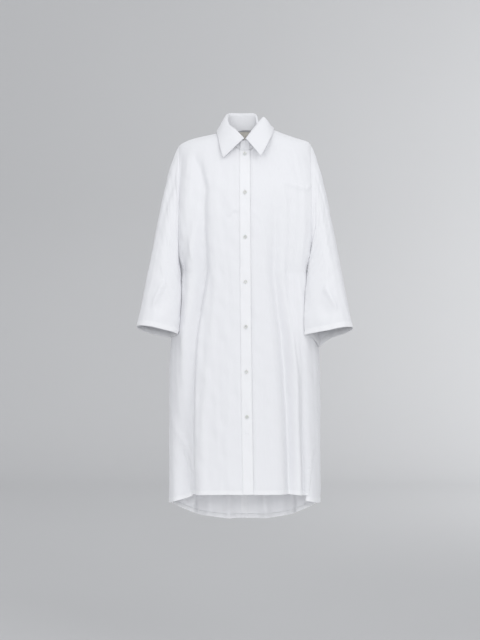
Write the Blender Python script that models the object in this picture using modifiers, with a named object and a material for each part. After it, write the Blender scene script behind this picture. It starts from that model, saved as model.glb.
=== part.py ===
"""Oversized shirt dress in cotton poplin, in its worn form with no wearer.

The dress faces -Y and hangs down from the origin, which lies between the shoulders
at the side of the neck. Every panel is a wall of cloth: an open sheet worked out from
the body's sections, thickened by Solidify. Two coordinates place a point on the body:
an angle round the section (0 at the centre front, 90 at the side, 180 at the centre
back) and a run, the distance down the cloth from the ridge of the shoulders. The
wearer's right is -X. All sizes are in metres and all angles in degrees.
"""
import math

import bpy
import numpy as np

# ---------------------------------------------------------------- driving sizes
CLOTH = 0.0012                  # wall of the modelled cloth
SEAM_GAP = 0.0003               # clearance between two pieces at a seam
ARMHOLE_GAP = 0.0009            # clearance at the armhole, where the wall turns
UNDERARM_GAP = 0.0023           # wider at the underarm, where both walls run down
SLEEVE_GAP = 0.0034             # clearance of the hanging sleeve from the body's side
FIRST_ROW = 0.004               # least height of a panel's first row at the armhole
STAND_INSET = 0.0026            # the stand's foot lies this far inside the neck seam
STAND_DROP = 0.0021             # and its top this far below the leaf, which folds there

ARMHOLE_X = 0.197               # the armhole seams lie this far from the centre
UNDERARM_Z = -0.430
SLIT_TOP_Z = -0.957
SHOULDER_ROUND = 0.050          # height over which the shoulder rounds into the chest
SECTION_POWER = 2.1             # 2 is an ellipse, more is boxier
HALF_WIDTH = 0.224              # mean half width and depth of the section, which place
DEPTH = 0.138                   # the folds round it

NECK_HALF_WIDTH = 0.066
NECK_FRONT_RUN = 0.130          # from the ridge down to the seam at the centre front
NECK_BACK_RUN = 0.052
NECK_FRONT_SHAPE = 1.5          # how long the front of the neckline stays high
YOKE_FRONT_RUN = 0.032
YOKE_BACK_Z = -0.080            # height of the straight seam across the back

PLACKET_WIDTH = 0.032
PLACKET_DRIFT = 0.0095          # the placket swings this far to the left at the hem
LAP_WIDTH = 0.013               # the left front reaches this far past the centre
LAP_TOP = 0.004                 # and its top edge stays this far below the stand
LAP_DROP = 0.0022               # depth at which it passes below the placket
LAP_HOLD = 0.004                # it keeps that depth this far past the placket's edge
LAP_EASE = 0.014                # and rises out of it over this width
BUTTON_RADIUS = 0.0053
BUTTON_THICKNESS = 0.0022
BUTTON_TOP_Z = -0.0787
BUTTON_SECOND_Z = -0.1963
BUTTON_PITCH = 0.130
BUTTONS = 7

HEM_FRONT_Z = -1.073
HEM_FRONT_SIDE_Z = -1.090
HEM_BACK_SIDE_Z = -1.112
HEM_BACK_Z = -1.180
SLIT_OPENING = 2.6              # degrees between the slit's edges at the hem

LABEL_THICKNESS = 0.0008
LABEL_ROWS = (0.4, 2.6)         # its place on the rows and columns of the yoke's grid
LABEL_REACH = 1.4

# Ridge of the shoulders, columns: x, height.
RIDGE = (
    (-0.230, -0.066), (-0.199, -0.048), (-0.190, -0.0395), (-0.159, -0.0255),
    (-0.120, -0.016), (-0.083, -0.0075), (-0.060, 0.003), (0.000, 0.034),
    (0.060, 0.013), (0.083, 0.004), (0.120, -0.0105), (0.159, -0.0235),
    (0.190, -0.0335), (0.199, -0.0435), (0.230, -0.062),
)

# Sections below the underarm, columns: height, half width.
SIDES = (
    (-1.250, 0.227), (-0.900, 0.2265), (-0.720, 0.225), (-0.620, 0.220),
    (-0.560, 0.210), (-0.500, 0.2015), (-0.460, 0.1985), (-0.430, 0.1970),
)
ARMHOLE_BULGE = 0.030           # how far the section would reach past the armhole
ARMHOLE_POWER = 1.25            # how smoothly that bulge ends

# Depth of the section before and behind the ridge, columns: height, front, back.
DEPTHS = (
    (-1.250, 0.146, 0.138), (-0.800, 0.141, 0.130), (-0.450, 0.137, 0.121),
    (-0.300, 0.132, 0.118), (-0.200, 0.121, 0.112), (-0.120, 0.098, 0.098),
    (-0.068, 0.080, 0.082), (-0.030, 0.068, 0.068), (0.040, 0.046, 0.050),
)

# Side seams, which roll to the front, columns: height, angle right, angle left.
SIDE_SEAMS = (
    (-1.250, 50.0, 54.0), (-1.090, 52.0, 56.0), (-0.990, 55.0, 61.0),
    (-0.957, 58.0, 64.0), (-0.900, 67.0, 68.0), (-0.810, 73.0, 76.0),
    (-0.640, 67.0, 86.0), (-0.560, 75.0, 88.0), (-0.500, 85.0, 89.0),
    (-0.430, 90.0, 90.0),
)

# Long folds, each with its half width, then its x and its depth (out is +) at FOLD_Z.
FOLD_Z = (-0.06, -0.20, -0.35, -0.55, -0.75, -0.92, -1.10)
FRONT_FOLDS = (
    (0.017, (-0.150, -0.118, -0.120, -0.129, -0.143, -0.159, -0.153),
            (-0.003, -0.010, -0.013, -0.013, -0.014, -0.020, -0.027)),
    (0.022, (-0.176, -0.150, -0.158, -0.172, -0.180, -0.190, -0.188),
            (0.000, 0.004, 0.009, 0.010, 0.007, 0.005, 0.004)),
    (0.015, (-0.110, -0.090, -0.092, -0.100, -0.112, -0.124, -0.121),
            (0.000, 0.002, 0.003, 0.004, 0.006, 0.008, 0.010)),
    (0.014, (0.080, 0.084, 0.093, 0.108, 0.121, 0.124, 0.130),
            (0.000, -0.002, -0.006, -0.010, -0.012, -0.013, -0.016)),
    (0.013, (0.120, 0.118, 0.124, 0.134, 0.148, 0.153, 0.160),
            (0.000, 0.002, 0.003, 0.005, 0.008, 0.009, 0.010)),
    (0.016, (-0.200, -0.200, -0.200, -0.205, -0.205, -0.205, -0.205),
            (-0.005, -0.009, -0.006, 0.000, 0.000, 0.000, 0.000)),
    (0.012, (0.165, 0.160, 0.160, 0.165, 0.170, 0.172, 0.178),
            (0.000, -0.005, -0.004, -0.003, -0.005, -0.006, -0.005)),
)
BACK_FOLDS = (
    (0.018, (-0.150, -0.148, -0.150, -0.150, -0.152, -0.156, -0.160),
            (0.000, -0.006, -0.010, -0.012, -0.014, -0.016, -0.018)),
    (0.020, (-0.105, -0.102, -0.103, -0.104, -0.104, -0.105, -0.106),
            (0.000, 0.003, 0.007, 0.008, 0.009, 0.011, 0.013)),
    (0.016, (-0.060, -0.060, -0.058, -0.056, -0.054, -0.052, -0.050),
            (0.000, -0.002, -0.005, -0.008, -0.010, -0.012, -0.013)),
    (0.017, (0.050, 0.052, 0.055, 0.058, 0.062, 0.064, 0.066),
            (0.000, -0.003, -0.006, -0.008, -0.011, -0.013, -0.015)),
    (0.020, (0.100, 0.101, 0.104, 0.106, 0.110, 0.112, 0.114),
            (0.000, 0.003, 0.006, 0.009, 0.010, 0.011, 0.012)),
    (0.018, (0.150, 0.150, 0.154, 0.158, 0.162, 0.164, 0.166),
            (0.000, -0.005, -0.009, -0.011, -0.012, -0.014, -0.016)),
)

# Sleeve hems, columns: side, centre x, centre y, centre z, half width out from the
# body, rise of the outer edge, half depth, rise of the front edge, droop of the fold at
# the back.
SLEEVE_HEMS = {
    "right": (-1, -0.2606, -0.090, -0.600, 0.0564, 0.0125, 0.058, 0.012, 0.002),
    "left": (1, 0.2595, -0.093, -0.605, 0.0570, 0.0130, 0.058, 0.013, 0.024),
}
SLEEVE_AXIS = (0.20, -0.17, -0.96)
SLEEVE_ARRIVAL = (0.150, 0.110) # reach of the curve at the hem, and its gain outside
DROOP_PLACE = (0.615, 0.085)    # middle and half width of the droop round the hem

# How the cloth leaves the armhole, columns: place round it (0 at the shoulder, 0.25 in
# front, 0.5 at the underarm), direction out, back and up, reach of the curve.
SLEEVE_LEAVES = (
    (0.000, 0.48, -0.05, -0.88, 0.090),
    (0.250, 0.70, -0.15, -0.66, 0.060),
    (0.375, -0.05, -0.50, -0.50, 0.045),
    (0.440, -0.60, -0.70, -0.50, 0.050),
    (0.500, 0.00, -0.80, -0.44, 0.035),
    (0.625, 0.59, -0.30, -0.50, 0.040),
    (0.750, 0.70, 0.05, -0.66, 0.060),
    (1.000, 0.48, -0.05, -0.88, 0.090),
)

# Collar leaf, columns: name, crest x, y, z, edge x, y, z, swing out over the crest.
# The rows run from the wearer's right point round the back to the left one. The left
# side stands up in a peak in front of a dip where the collar has slumped.
COLLAR = (
    ("right point", -0.0018, -0.0830, -0.0330, -0.0640, -0.0945, -0.0930, 0.013),
    ("right front", -0.0262, -0.0690, -0.0062, -0.0735, -0.0800, -0.0570, 0.013),
    ("right turn", -0.0480, -0.0380, 0.0157, -0.0805, -0.0450, -0.0190, 0.012),
    ("right side", -0.0540, -0.0050, 0.0370, -0.0840, -0.0050, -0.0020, 0.009),
    ("right back", -0.0530, 0.0220, 0.0530, -0.0790, 0.0330, 0.0020, 0.008),
    ("right nape", -0.0380, 0.0430, 0.0595, -0.0540, 0.0620, 0.0060, 0.010),
    ("nape", -0.0080, 0.0520, 0.0600, -0.0060, 0.0730, 0.0090, 0.012),
    ("left nape", 0.0240, 0.0470, 0.0600, 0.0300, 0.0680, 0.0090, 0.008),
    ("left back", 0.0355, 0.0385, 0.0530, 0.0420, 0.0620, 0.0080, 0.005),
    ("left fall", 0.0390, 0.0290, 0.0330, 0.0560, 0.0500, 0.0050, 0.005),
    ("left dip", 0.0450, 0.0150, 0.0190, 0.0720, 0.0300, 0.0050, 0.006),
    ("left rise", 0.0560, -0.0100, 0.0220, 0.0870, -0.0060, 0.0080, 0.008),
    ("left peak", 0.0560, -0.0320, 0.0368, 0.0850, -0.0380, -0.0060, 0.008),
    ("left front", 0.0300, -0.0640, 0.0040, 0.0680, -0.0900, -0.0480, 0.012),
    ("left point", 0.0025, -0.0850, -0.0340, 0.0470, -0.1120, -0.0892, 0.013),
)
COLLAR_TURN = 0.006             # height of the crest above the seam on the stand
COLLAR_ROLL = 0.0035            # and how far that seam lies inside the crest

# Colours and roughness of the materials.
WHITE = (0.86, 0.87, 0.89, 1.0)
CREAM = (0.86, 0.79, 0.70, 1.0)
PEARL = (0.72, 0.71, 0.68, 1.0)

# Rows and columns of the sheets.
ROWS_BELOW = (10, 3)            # from the underarm to the slit, and along the slit
SEAM_COLUMNS = 8                # of a front, a back or half the yoke, past the neck
FRONT_NECK_COLUMNS = 8
BACK_NECK_COLUMNS = 6
SLEEVE_RINGS = 13
SLEEVE_SIDES = 24
YOKE_ROWS = 8
COLLAR_COLUMNS = 34


# ---------------------------------------------------------------- tables and curves
def curve(at, knots, values):
    """Smooth curve through the knots that never overshoots, evaluated at `at`."""
    knots = np.asarray(knots, float)
    values = np.asarray(values, float)
    order = np.argsort(knots)
    knots, values = knots[order], values[order]
    step = np.diff(knots)
    slope = np.diff(values) / step
    tangent = np.zeros(len(knots))
    same = slope[:-1] * slope[1:] > 0
    harmonic = 2 * slope[:-1] * slope[1:] / np.where(same, slope[:-1] + slope[1:], 1)
    tangent[1:-1] = np.where(same, harmonic, 0)
    tangent[0], tangent[-1] = slope[0], slope[-1]
    at = np.clip(np.asarray(at, float), knots[0], knots[-1])
    cell = np.clip(np.searchsorted(knots, at) - 1, 0, len(step) - 1)
    f = (at - knots[cell]) / step[cell]
    rise = values[cell + 1] - values[cell]
    bend_in = step[cell] * tangent[cell] - rise
    bend_out = rise - step[cell] * tangent[cell + 1]
    return values[cell] + f * rise + f * (1 - f) * ((1 - f) * bend_in + f * bend_out)


def column(table, at, index):
    """Curve through one column of a table whose first column is the height."""
    return curve(at, [row[0] for row in table], [row[index] for row in table])


def ridge_height(x):
    """Height of the shoulder ridge at x."""
    return column(RIDGE, x, 1)


def half_width(z):
    """Half width of the body's section at height z."""
    top = ridge_height(ARMHOLE_X)
    middle = (top + UNDERARM_Z) / 2
    reach = (z - middle) / (top - middle)
    bulge = ARMHOLE_BULGE * np.clip(1 - reach * reach, 0.0, 1.0) ** ARMHOLE_POWER
    above = np.where(z > top, ARMHOLE_X + 0.001, ARMHOLE_X + 0.00002 + bulge)
    return np.where(z > UNDERARM_Z, above, column(SIDES, z, 1))


def drop(run):
    """Height lost over a run from the ridge: a quarter turn, then straight down."""
    turn = np.clip(run / SHOULDER_ROUND, 0, math.pi / 2)
    straight = np.maximum(run - SHOULDER_ROUND * math.pi / 2, 0)
    return SHOULDER_ROUND * (1 - np.cos(turn)) + straight


def run_of(fall):
    """Run that loses the height `fall`, the inverse of drop."""
    turned = SHOULDER_ROUND * np.arccos(np.clip(1 - fall / SHOULDER_ROUND, 0, 1))
    return turned + np.maximum(fall - SHOULDER_ROUND, 0)


# ---------------------------------------------------------------- body surface
def fold_height(angle, z, side):
    """Sum of the long folds at an angle and height, on the side -1 or 1."""
    sweep = np.linspace(0, 180, 181)
    turn = np.radians(sweep)
    pace = np.hypot(HALF_WIDTH * np.cos(turn), DEPTH * np.sin(turn))
    arc = np.concatenate([[0], np.cumsum((pace[1:] + pace[:-1]) / 2) * math.radians(1)])
    here = np.interp(np.abs(angle), sweep, arc) * side * np.where(angle < 0, -1, 1)
    total = np.zeros(np.broadcast(angle, z).shape)
    for folds, behind in ((FRONT_FOLDS, False), (BACK_FOLDS, True)):
        for width, path, depth in folds:
            x = curve(z, FOLD_Z, path)
            reach = np.clip(np.abs(x) / HALF_WIDTH, 0, 1) ** (SECTION_POWER / 2)
            centre = np.degrees(np.arcsin(reach))
            centre = 180 - centre if behind else centre
            gap = here - np.interp(centre, sweep, arc) * np.sign(x)
            gap = (gap + arc[-1]) % (2 * arc[-1]) - arc[-1]
            total = total + curve(z, FOLD_Z, depth) * np.exp(-((gap / width) ** 2))
    return total


def body(angle, run, side):
    """Points of the body at angles and runs, with the outward normals beside them."""
    angle, run = np.broadcast_arrays(np.asarray(angle, float), np.asarray(run, float))
    turn = np.radians(angle)
    power = 2 / SECTION_POWER
    across = np.abs(np.sin(turn)) ** power
    along = np.abs(np.cos(turn)) ** power
    x = 0.2 * across * side
    for _ in range(12):
        z = ridge_height(x) - drop(run)
        x = half_width(z) * across * side * np.sign(np.sin(turn) + 1e-12)
    before = np.cos(turn) > 0
    depth = np.where(before, column(DEPTHS, z, 1), column(DEPTHS, z, 2))
    rounding = np.sin(np.clip(run / SHOULDER_ROUND, 0, math.pi / 2))
    y = np.where(before, -1, 1) * depth * along * rounding
    steep = SECTION_POWER - 1
    facing_x = np.sign(x) * across ** steep / HALF_WIDTH
    facing_y = np.where(before, -1, 1) * along ** steep / depth
    size = np.hypot(facing_x, facing_y)
    normal = np.stack([facing_x / size, facing_y / size, np.zeros_like(x)], axis=-1)
    fade = np.clip((drop(run) - 0.02) / 0.06, 0, 1)
    push = fold_height(angle, z, side) * fade
    return np.stack([x, y, z], axis=-1) + normal * push[..., None], normal


def angle_at(x, z):
    """Angle on the front at which the section at height z reaches x."""
    reach = np.clip(np.abs(x) / half_width(z), 0, 1)
    return np.degrees(np.arcsin(reach ** (SECTION_POWER / 2)))


def centre_line(z):
    """x of the placket's middle at height z."""
    return PLACKET_DRIFT * np.clip(-(z + 0.07), 0, 2) ** 1.8


def neckline(phi):
    """Neck seam at phi degrees from the nape: x and the signed run, front negative."""
    lean = np.cos(np.radians(phi))
    front = -NECK_FRONT_RUN * np.abs(lean) ** NECK_FRONT_SHAPE
    run = np.where(lean < 0, front, NECK_BACK_RUN * np.abs(lean))
    return NECK_HALF_WIDTH * np.sin(np.radians(phi)), run


def over_shoulder(x, run):
    """Point of the body at x and a signed run, which may cross the ridge."""
    z = ridge_height(x) - drop(np.abs(run))
    angle = angle_at(x, z)
    angle = np.where(run > 0, 180 - angle, angle)
    right = body(angle, np.abs(run), -1)
    left = body(angle, np.abs(run), 1)
    pick = (np.asarray(x) < 0)[..., None]
    return np.where(pick, right[0], left[0]), np.where(pick, right[1], left[1])


# ---------------------------------------------------------------- panels
def edge_angle(z, side, behind):
    """Angle of a panel's outer edge: the armhole above, the side seam below."""
    armhole = angle_at(ARMHOLE_X, z)
    armhole = 180 - armhole if behind else armhole
    seam = column(SIDE_SEAMS, z, 1 if side < 0 else 2)
    slit = SLIT_OPENING / 2 * np.clip((SLIT_TOP_Z - z) / (SLIT_TOP_Z - HEM_FRONT_Z), 0, 1)
    clear = math.degrees(SEAM_GAP / 2 / DEPTH)
    seam = seam + slit + clear if behind else seam - slit - clear
    return np.where(z > UNDERARM_Z + 1e-4, armhole, seam)


def spread(z, side, start, s, behind):
    """Angle at a share s of the way across a panel, from start to its outer edge.

    Above the underarm the columns bend in towards the armhole with the square of s, so
    that those near the centre run straight down.
    """
    edge = edge_angle(z, side, behind)
    seam = edge_angle(np.minimum(z, UNDERARM_Z), side, behind)
    return start + (seam - start) * s + (edge - seam) * s * s


def armhole_height(around, side):
    """Height of the armhole seam at a place round it."""
    top = ridge_height(ARMHOLE_X * side)
    z = UNDERARM_Z + (top - UNDERARM_Z) * (1 + np.cos(2 * math.pi * around)) / 2
    return np.clip(z, UNDERARM_Z + 1e-5, top - 1e-6)


def hem_height(angle, behind):
    """Height of the hem at an angle round the body."""
    middle = 1 - np.abs(np.sin(np.radians(angle))) ** 3
    if behind:
        return HEM_BACK_SIDE_Z + (HEM_BACK_Z - HEM_BACK_SIDE_Z) * middle * (angle > 90)
    return HEM_FRONT_SIDE_Z + (HEM_FRONT_Z - HEM_FRONT_SIDE_Z) * middle


def panel(side, inner, top, columns, behind):
    """Grid of body points from the inner edge to the armhole and side seam.

    inner(z) is the angle of the inner edge, and top(s) gives the angle and the run of
    the upper edge for s from 0 at the inner edge to 1 at the armhole.
    """
    s = np.linspace(0, 1, columns + 1)[None, :]
    top_angle, top_run = top(s)
    levels = [np.broadcast_to(top_run, s.shape)]
    for height in (UNDERARM_Z, SLIT_TOP_Z, None):
        if height is None:
            outer = edge_angle(np.full_like(s, HEM_FRONT_SIDE_Z), side, behind)
            middle = inner(np.full_like(s, HEM_FRONT_Z))
            height = hem_height(middle + (outer - middle) * s, behind)
        z = np.full_like(s, 1.0) * height
        sine = np.sin(np.radians(spread(z, side, inner(z), s, behind)))
        x = half_width(z) * np.sign(sine) * np.abs(sine) ** (2 / SECTION_POWER) * side
        levels.append(run_of(ridge_height(x) - z))
    heights = armhole_height(np.arange(1, SLEEVE_SIDES // 2) / SLEEVE_SIDES, side)
    ridge = ridge_height(ARMHOLE_X * side)
    first, last = levels[0][0, -1], levels[1][0, -1]
    beside = run_of(ridge - heights[heights < ridge - drop(first) - FIRST_ROW])
    shares = [np.append((beside - first) / (last - first), 1.0)]
    shares += [np.arange(1, count + 1) / count for count in ROWS_BELOW]
    rows = [levels[0]]
    for share, start, end in zip(shares, levels[:-1], levels[1:]):
        rows += [start + (end - start) * part for part in share]
    run = np.concatenate(rows, axis=0)
    fall = (run - run[:1]) / SHOULDER_ROUND
    angle = np.broadcast_to(top_angle, run.shape).copy()
    z = body(top_angle, top_run, side)[0][..., 2]
    start = spread(z, side, inner(z), s, behind)
    for _ in range(10):
        z = body(angle, run, side)[0][..., 2]
        even = spread(z, side, inner(z), s, behind)
        angle = even + (top_angle - start) * np.exp(-fall * fall / 4)
    return angle, run


def neck_corner():
    """Degrees from the nape at which the yoke's front seam meets the neckline."""
    lean = (YOKE_FRONT_RUN / NECK_FRONT_RUN) ** (1 / NECK_FRONT_SHAPE)
    return 180 - math.degrees(math.acos(lean))


def front_top(side, start_x):
    """Upper edge of a front: along the neck from start_x, then below the yoke."""
    first = 180 - math.degrees(math.asin(start_x * side / NECK_HALF_WIDTH))
    share = FRONT_NECK_COLUMNS / (FRONT_NECK_COLUMNS + SEAM_COLUMNS)

    def top(s):
        phi = first + (neck_corner() - first) * np.clip(s / share, 0, 1)
        neck_x, neck_run = neckline(phi)
        past = np.clip((s - share) / (1 - share), 0, 1)
        x = neck_x + (ARMHOLE_X - neck_x) * past
        lap = LAP_TOP * np.clip(2 - neck_x / (PLACKET_WIDTH / 2), 0, 1) * (side > 0)
        neck_run = -neck_run + 2 * SEAM_GAP + lap
        run = np.where(s < share, neck_run, YOKE_FRONT_RUN + 2 * SEAM_GAP)
        z = ridge_height(x * side) - drop(run)
        return angle_at(x, z) * np.sign(x), run

    return top


def back_top(side):
    """Upper edge of a back: straight across below the yoke."""
    def top(s):
        x = SEAM_GAP / 2 + (ARMHOLE_X - SEAM_GAP / 2) * s
        z = YOKE_BACK_Z - SEAM_GAP
        return 180 - angle_at(x, z), run_of(ridge_height(x * side) - z)

    return top


def front_points(side):
    """Grid of a front panel. The left one dips below the placket near the centre."""
    start = -PLACKET_WIDTH / 2 - SEAM_GAP if side < 0 else -LAP_WIDTH

    def inner(z):
        x = centre_line(z) + start
        return angle_at(x, z) * np.sign(x) * side

    columns = FRONT_NECK_COLUMNS + SEAM_COLUMNS
    angle, run = panel(side, inner, front_top(side, start), columns, False)
    points, normal = body(angle, run, side)
    if side > 0:
        past = points[..., 0] - centre_line(points[..., 2]) - PLACKET_WIDTH / 2
        sink = np.clip(1 - (past - LAP_HOLD) / LAP_EASE, 0, 1)
        sink = sink * sink * (3 - 2 * sink) * LAP_DROP
        points = points - normal * sink[..., None]
    return points


def back_points(side):
    """Grid of a back panel, from the centre-back seam round to the side seam."""
    def inner(z):
        return 180 - angle_at(SEAM_GAP / 2, z)

    columns = BACK_NECK_COLUMNS + SEAM_COLUMNS
    angle, run = panel(side, inner, back_top(side), columns, True)
    return body(angle, run, side)[0]


def yoke_points():
    """Grid of the yoke, from its front seams and the neckline to the back seam."""
    columns = BACK_NECK_COLUMNS + SEAM_COLUMNS
    u = np.linspace(-1, 1, 2 * columns + 1)
    share = BACK_NECK_COLUMNS / columns
    x, run = neckline(neck_corner() * np.clip(u / share, -1, 1))
    past = np.clip((np.abs(u) - share) / (1 - share), 0, 1)
    x = x + (ARMHOLE_X * np.sign(u) - x) * past
    run = np.where(past > 0, -YOKE_FRONT_RUN, run)
    foot_x = u * ARMHOLE_X
    foot_run = run_of(ridge_height(foot_x) - YOKE_BACK_Z)
    t = np.linspace(0, 1, YOKE_ROWS + 1)[:, None]
    return over_shoulder(x + (foot_x - x) * np.sqrt(t), run + (foot_run - run) * t)[0]


def placket_points():
    """Grid of the placket, a straight band down the centre front."""
    half = PLACKET_WIDTH / 2
    s = np.linspace(-1, 1, 3)[None, :]
    top_x, top_run = neckline(180 - np.degrees(np.arcsin(s * half / NECK_HALF_WIDTH)))
    top_z = ridge_height(top_x) - drop(-top_run) - SEAM_GAP
    beside = front_points(-1)[:, :1, 2]
    t = (beside[0] - beside) / (beside[0] - beside[-1])
    z = top_z + (HEM_FRONT_Z - top_z) * t
    x = centre_line(z) + s * half
    run = run_of(ridge_height(x) - z)
    angle = angle_at(x, z)
    right = body(angle, run, -1)[0]
    left = body(angle, run, 1)[0]
    return np.where((x < 0)[..., None], right, left)


# ---------------------------------------------------------------- sleeves
def armhole(around, side):
    """Armhole seam: 0 at the shoulder, 0.25 in front, 0.5 underarm, 0.75 behind."""
    z = armhole_height(around, side)
    angle = angle_at(ARMHOLE_X, z)
    angle = np.where(around > 0.5, 180 - angle, angle)
    return body(angle, run_of(ridge_height(ARMHOLE_X * side) - z), side)[0]


def beside_body(points):
    """Points below the underarm, moved out to clear the body's section."""
    x, y, z = points[..., 0], points[..., 1], points[..., 2]
    fall = np.clip((UNDERARM_Z - z) / 0.04, 0, 1)
    gap = UNDERARM_GAP + (SLEEVE_GAP - UNDERARM_GAP) * fall
    depth = np.where(y < 0, column(DEPTHS, z, 1), column(DEPTHS, z, 2)) + gap
    across = np.abs(x / (half_width(z) + gap)) ** SECTION_POWER
    along = np.abs(y / depth) ** SECTION_POWER
    size = (across + along) ** (1 / SECTION_POWER)
    scale = np.where((z < UNDERARM_Z) & (size < 1), 1 / size, 1.0)
    return points * np.stack([scale, scale, np.ones_like(scale)], axis=-1)


def sleeve_points(side, x, y, z, half_out, rise_out, half_deep, rise_front, droop):
    """Rings of a sleeve, from the armhole round and down to its hem."""
    around = np.linspace(0, 1, SLEEVE_SIDES, endpoint=False)[None, :]
    t = np.linspace(0, 1, SLEEVE_RINGS + 1)[:, None, None]
    up = np.cos(2 * math.pi * around)[..., None]
    ahead = np.sin(2 * math.pi * around)[..., None]
    gap = ARMHOLE_GAP + (UNDERARM_GAP - ARMHOLE_GAP) * np.clip(-up, 0, 1)
    start = armhole(around, side) + gap * np.array([side, 0, 0])
    out = np.array([side * half_out, 0, rise_out])
    fore = np.array([0, -half_deep, rise_front])
    sag = droop * np.exp(-(((around - DROOP_PLACE[0]) / DROOP_PLACE[1]) ** 2))
    end = np.array([x, y, z]) + up * out + ahead * fore - sag[..., None] * [0, 0, 1]
    leave = np.stack([column(SLEEVE_LEAVES, around, k) for k in (1, 2, 3)], axis=-1)
    reach = column(SLEEVE_LEAVES, around, 4)[..., None]
    first = start + leave * np.array([side, 1, 1]) * reach
    arrive = np.array(SLEEVE_AXIS) * np.array([side, 1, 1])
    second = end - arrive * (SLEEVE_ARRIVAL[0] + SLEEVE_ARRIVAL[1] * up)
    rings = ((1 - t) ** 3 * start + 3 * t * (1 - t) ** 2 * first
             + 3 * t * t * (1 - t) * second + t ** 3 * end)
    return beside_body(rings)


# ---------------------------------------------------------------- collar
def collar_line(at, first, count=3):
    """Smooth line through columns of the collar's table, at 0 to 1 round it."""
    rows = np.array([row[1:] for row in COLLAR])
    crest = rows[:, :3]
    steps = np.linalg.norm(np.diff(crest, axis=0), axis=1)
    place = np.concatenate([[0], np.cumsum(steps)]) / steps.sum()
    return np.stack([curve(at, place, rows[:, first + k]) for k in range(count)], axis=-1)


def outward(points):
    """Horizontal directions away from the middle of the neck."""
    away = (points - np.array([0.0, -0.012, 0.0])) * np.array([1, 1, 0])
    return away / np.linalg.norm(away, axis=-1, keepdims=True)


def leaf_points():
    """Grid of the collar's leaf: up from its seam, over the crest and down."""
    at = np.linspace(0, 1, COLLAR_COLUMNS + 1)
    crest = collar_line(at, 0)
    edge = collar_line(at, 3)
    away = outward(crest)
    root = crest - away * COLLAR_ROLL - np.array([0, 0, COLLAR_TURN])
    over = crest + away * collar_line(at, 6, 1)
    rows = [root, crest - away * COLLAR_ROLL / 2]
    for v in (0.13, 0.30, 0.52, 0.76, 1.0):
        rows.append((1 - v) ** 2 * crest + 2 * v * (1 - v) * over + v * v * edge)
    return np.stack(rows)


def stand_points():
    """Grid of the collar's stand, from inside the neck seam up to the leaf."""
    at = np.linspace(0, 1, COLLAR_COLUMNS + 1)
    crest = collar_line(at, 0)
    top = crest - outward(crest) * COLLAR_ROLL - np.array([0, 0, COLLAR_TURN + STAND_DROP])
    phi = -179 + 358 * at
    x, run = neckline(phi)
    foot = over_shoulder(x, run)[0]
    foot = foot - outward(foot) * STAND_INSET - np.array([0, 0, 0.002])
    t = np.linspace(0, 1, 4)[:, None, None]
    return foot + (top - foot) * t


# ---------------------------------------------------------------- objects
def collection(name):
    """New collection in the scene."""
    group = bpy.data.collections.new(name)
    bpy.context.scene.collection.children.link(group)
    return group


def material(name, color, roughness):
    """Principled material of one colour."""
    surface = bpy.data.materials.new(name)
    surface.use_nodes = True
    shader = surface.node_tree.nodes["Principled BSDF"]
    shader.inputs["Base Color"].default_value = color
    shader.inputs["Roughness"].default_value = roughness
    shader.inputs["Metallic"].default_value = 0.0
    surface.diffuse_color = color
    return surface


def sheet(name, points, color, thickness=CLOTH, closed=False):
    """Wall of cloth on a grid of points, rows by columns, centred on the grid."""
    rows, columns = points.shape[:2]
    index = np.arange(rows * columns).reshape(rows, columns)
    right = np.roll(index, -1, axis=1) if closed else index[:, 1:]
    left = index if closed else index[:, :-1]
    faces = np.stack([left[:-1], left[1:], right[1:], right[:-1]], axis=-1)
    mesh = bpy.data.meshes.new(name)
    mesh.from_pydata(points.reshape(-1, 3).tolist(), [], faces.reshape(-1, 4).tolist())
    mesh.shade_smooth()
    mesh.materials.append(material(name, color, 0.8))
    piece = bpy.data.objects.new(name, mesh)
    dress.objects.link(piece)
    wall = piece.modifiers.new("wall", "SOLIDIFY")
    wall.thickness = thickness
    wall.offset = 0.0
    return piece


def fronts_and_backs():
    """The four long panels."""
    for name, side in (("right", -1), ("left", 1)):
        sheet("front_" + name, front_points(side), WHITE)
        sheet("back_" + name, back_points(side), WHITE)


def sleeves():
    """The two sleeves, each a tube open at both ends."""
    for name, row in SLEEVE_HEMS.items():
        sheet("sleeve_" + name, sleeve_points(*row), WHITE, closed=True)


def on_grid(points, row, column):
    """Points at fractional rows and columns of a grid, flat between its lines."""
    low_row = np.clip(row.astype(int), 0, points.shape[0] - 2)
    low_column = np.clip(column.astype(int), 0, points.shape[1] - 2)
    down = (row - low_row)[..., None]
    across = (column - low_column)[..., None]
    upper = points[low_row, low_column] * (1 - across)
    upper = upper + points[low_row, low_column + 1] * across
    lower = points[low_row + 1, low_column] * (1 - across)
    lower = lower + points[low_row + 1, low_column + 1] * across
    return upper * (1 - down) + lower * down


def label():
    """Bare label on the inside of the yoke at the nape."""
    yoke = yoke_points()
    middle = yoke.shape[1] // 2
    rows = np.linspace(*LABEL_ROWS, 5)[:, None]
    columns = middle + np.linspace(-LABEL_REACH, LABEL_REACH, 7)[None, :]
    points = on_grid(yoke, *np.broadcast_arrays(rows, columns))
    along = np.gradient(points, axis=0)
    across = np.gradient(points, axis=1)
    inside = np.cross(along, across)
    inside = inside / np.linalg.norm(inside, axis=-1, keepdims=True)
    lift = CLOTH / 2 + 2 * SEAM_GAP + LABEL_THICKNESS / 2
    sheet("neck_label", points + inside * lift, CREAM, thickness=LABEL_THICKNESS)


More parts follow.
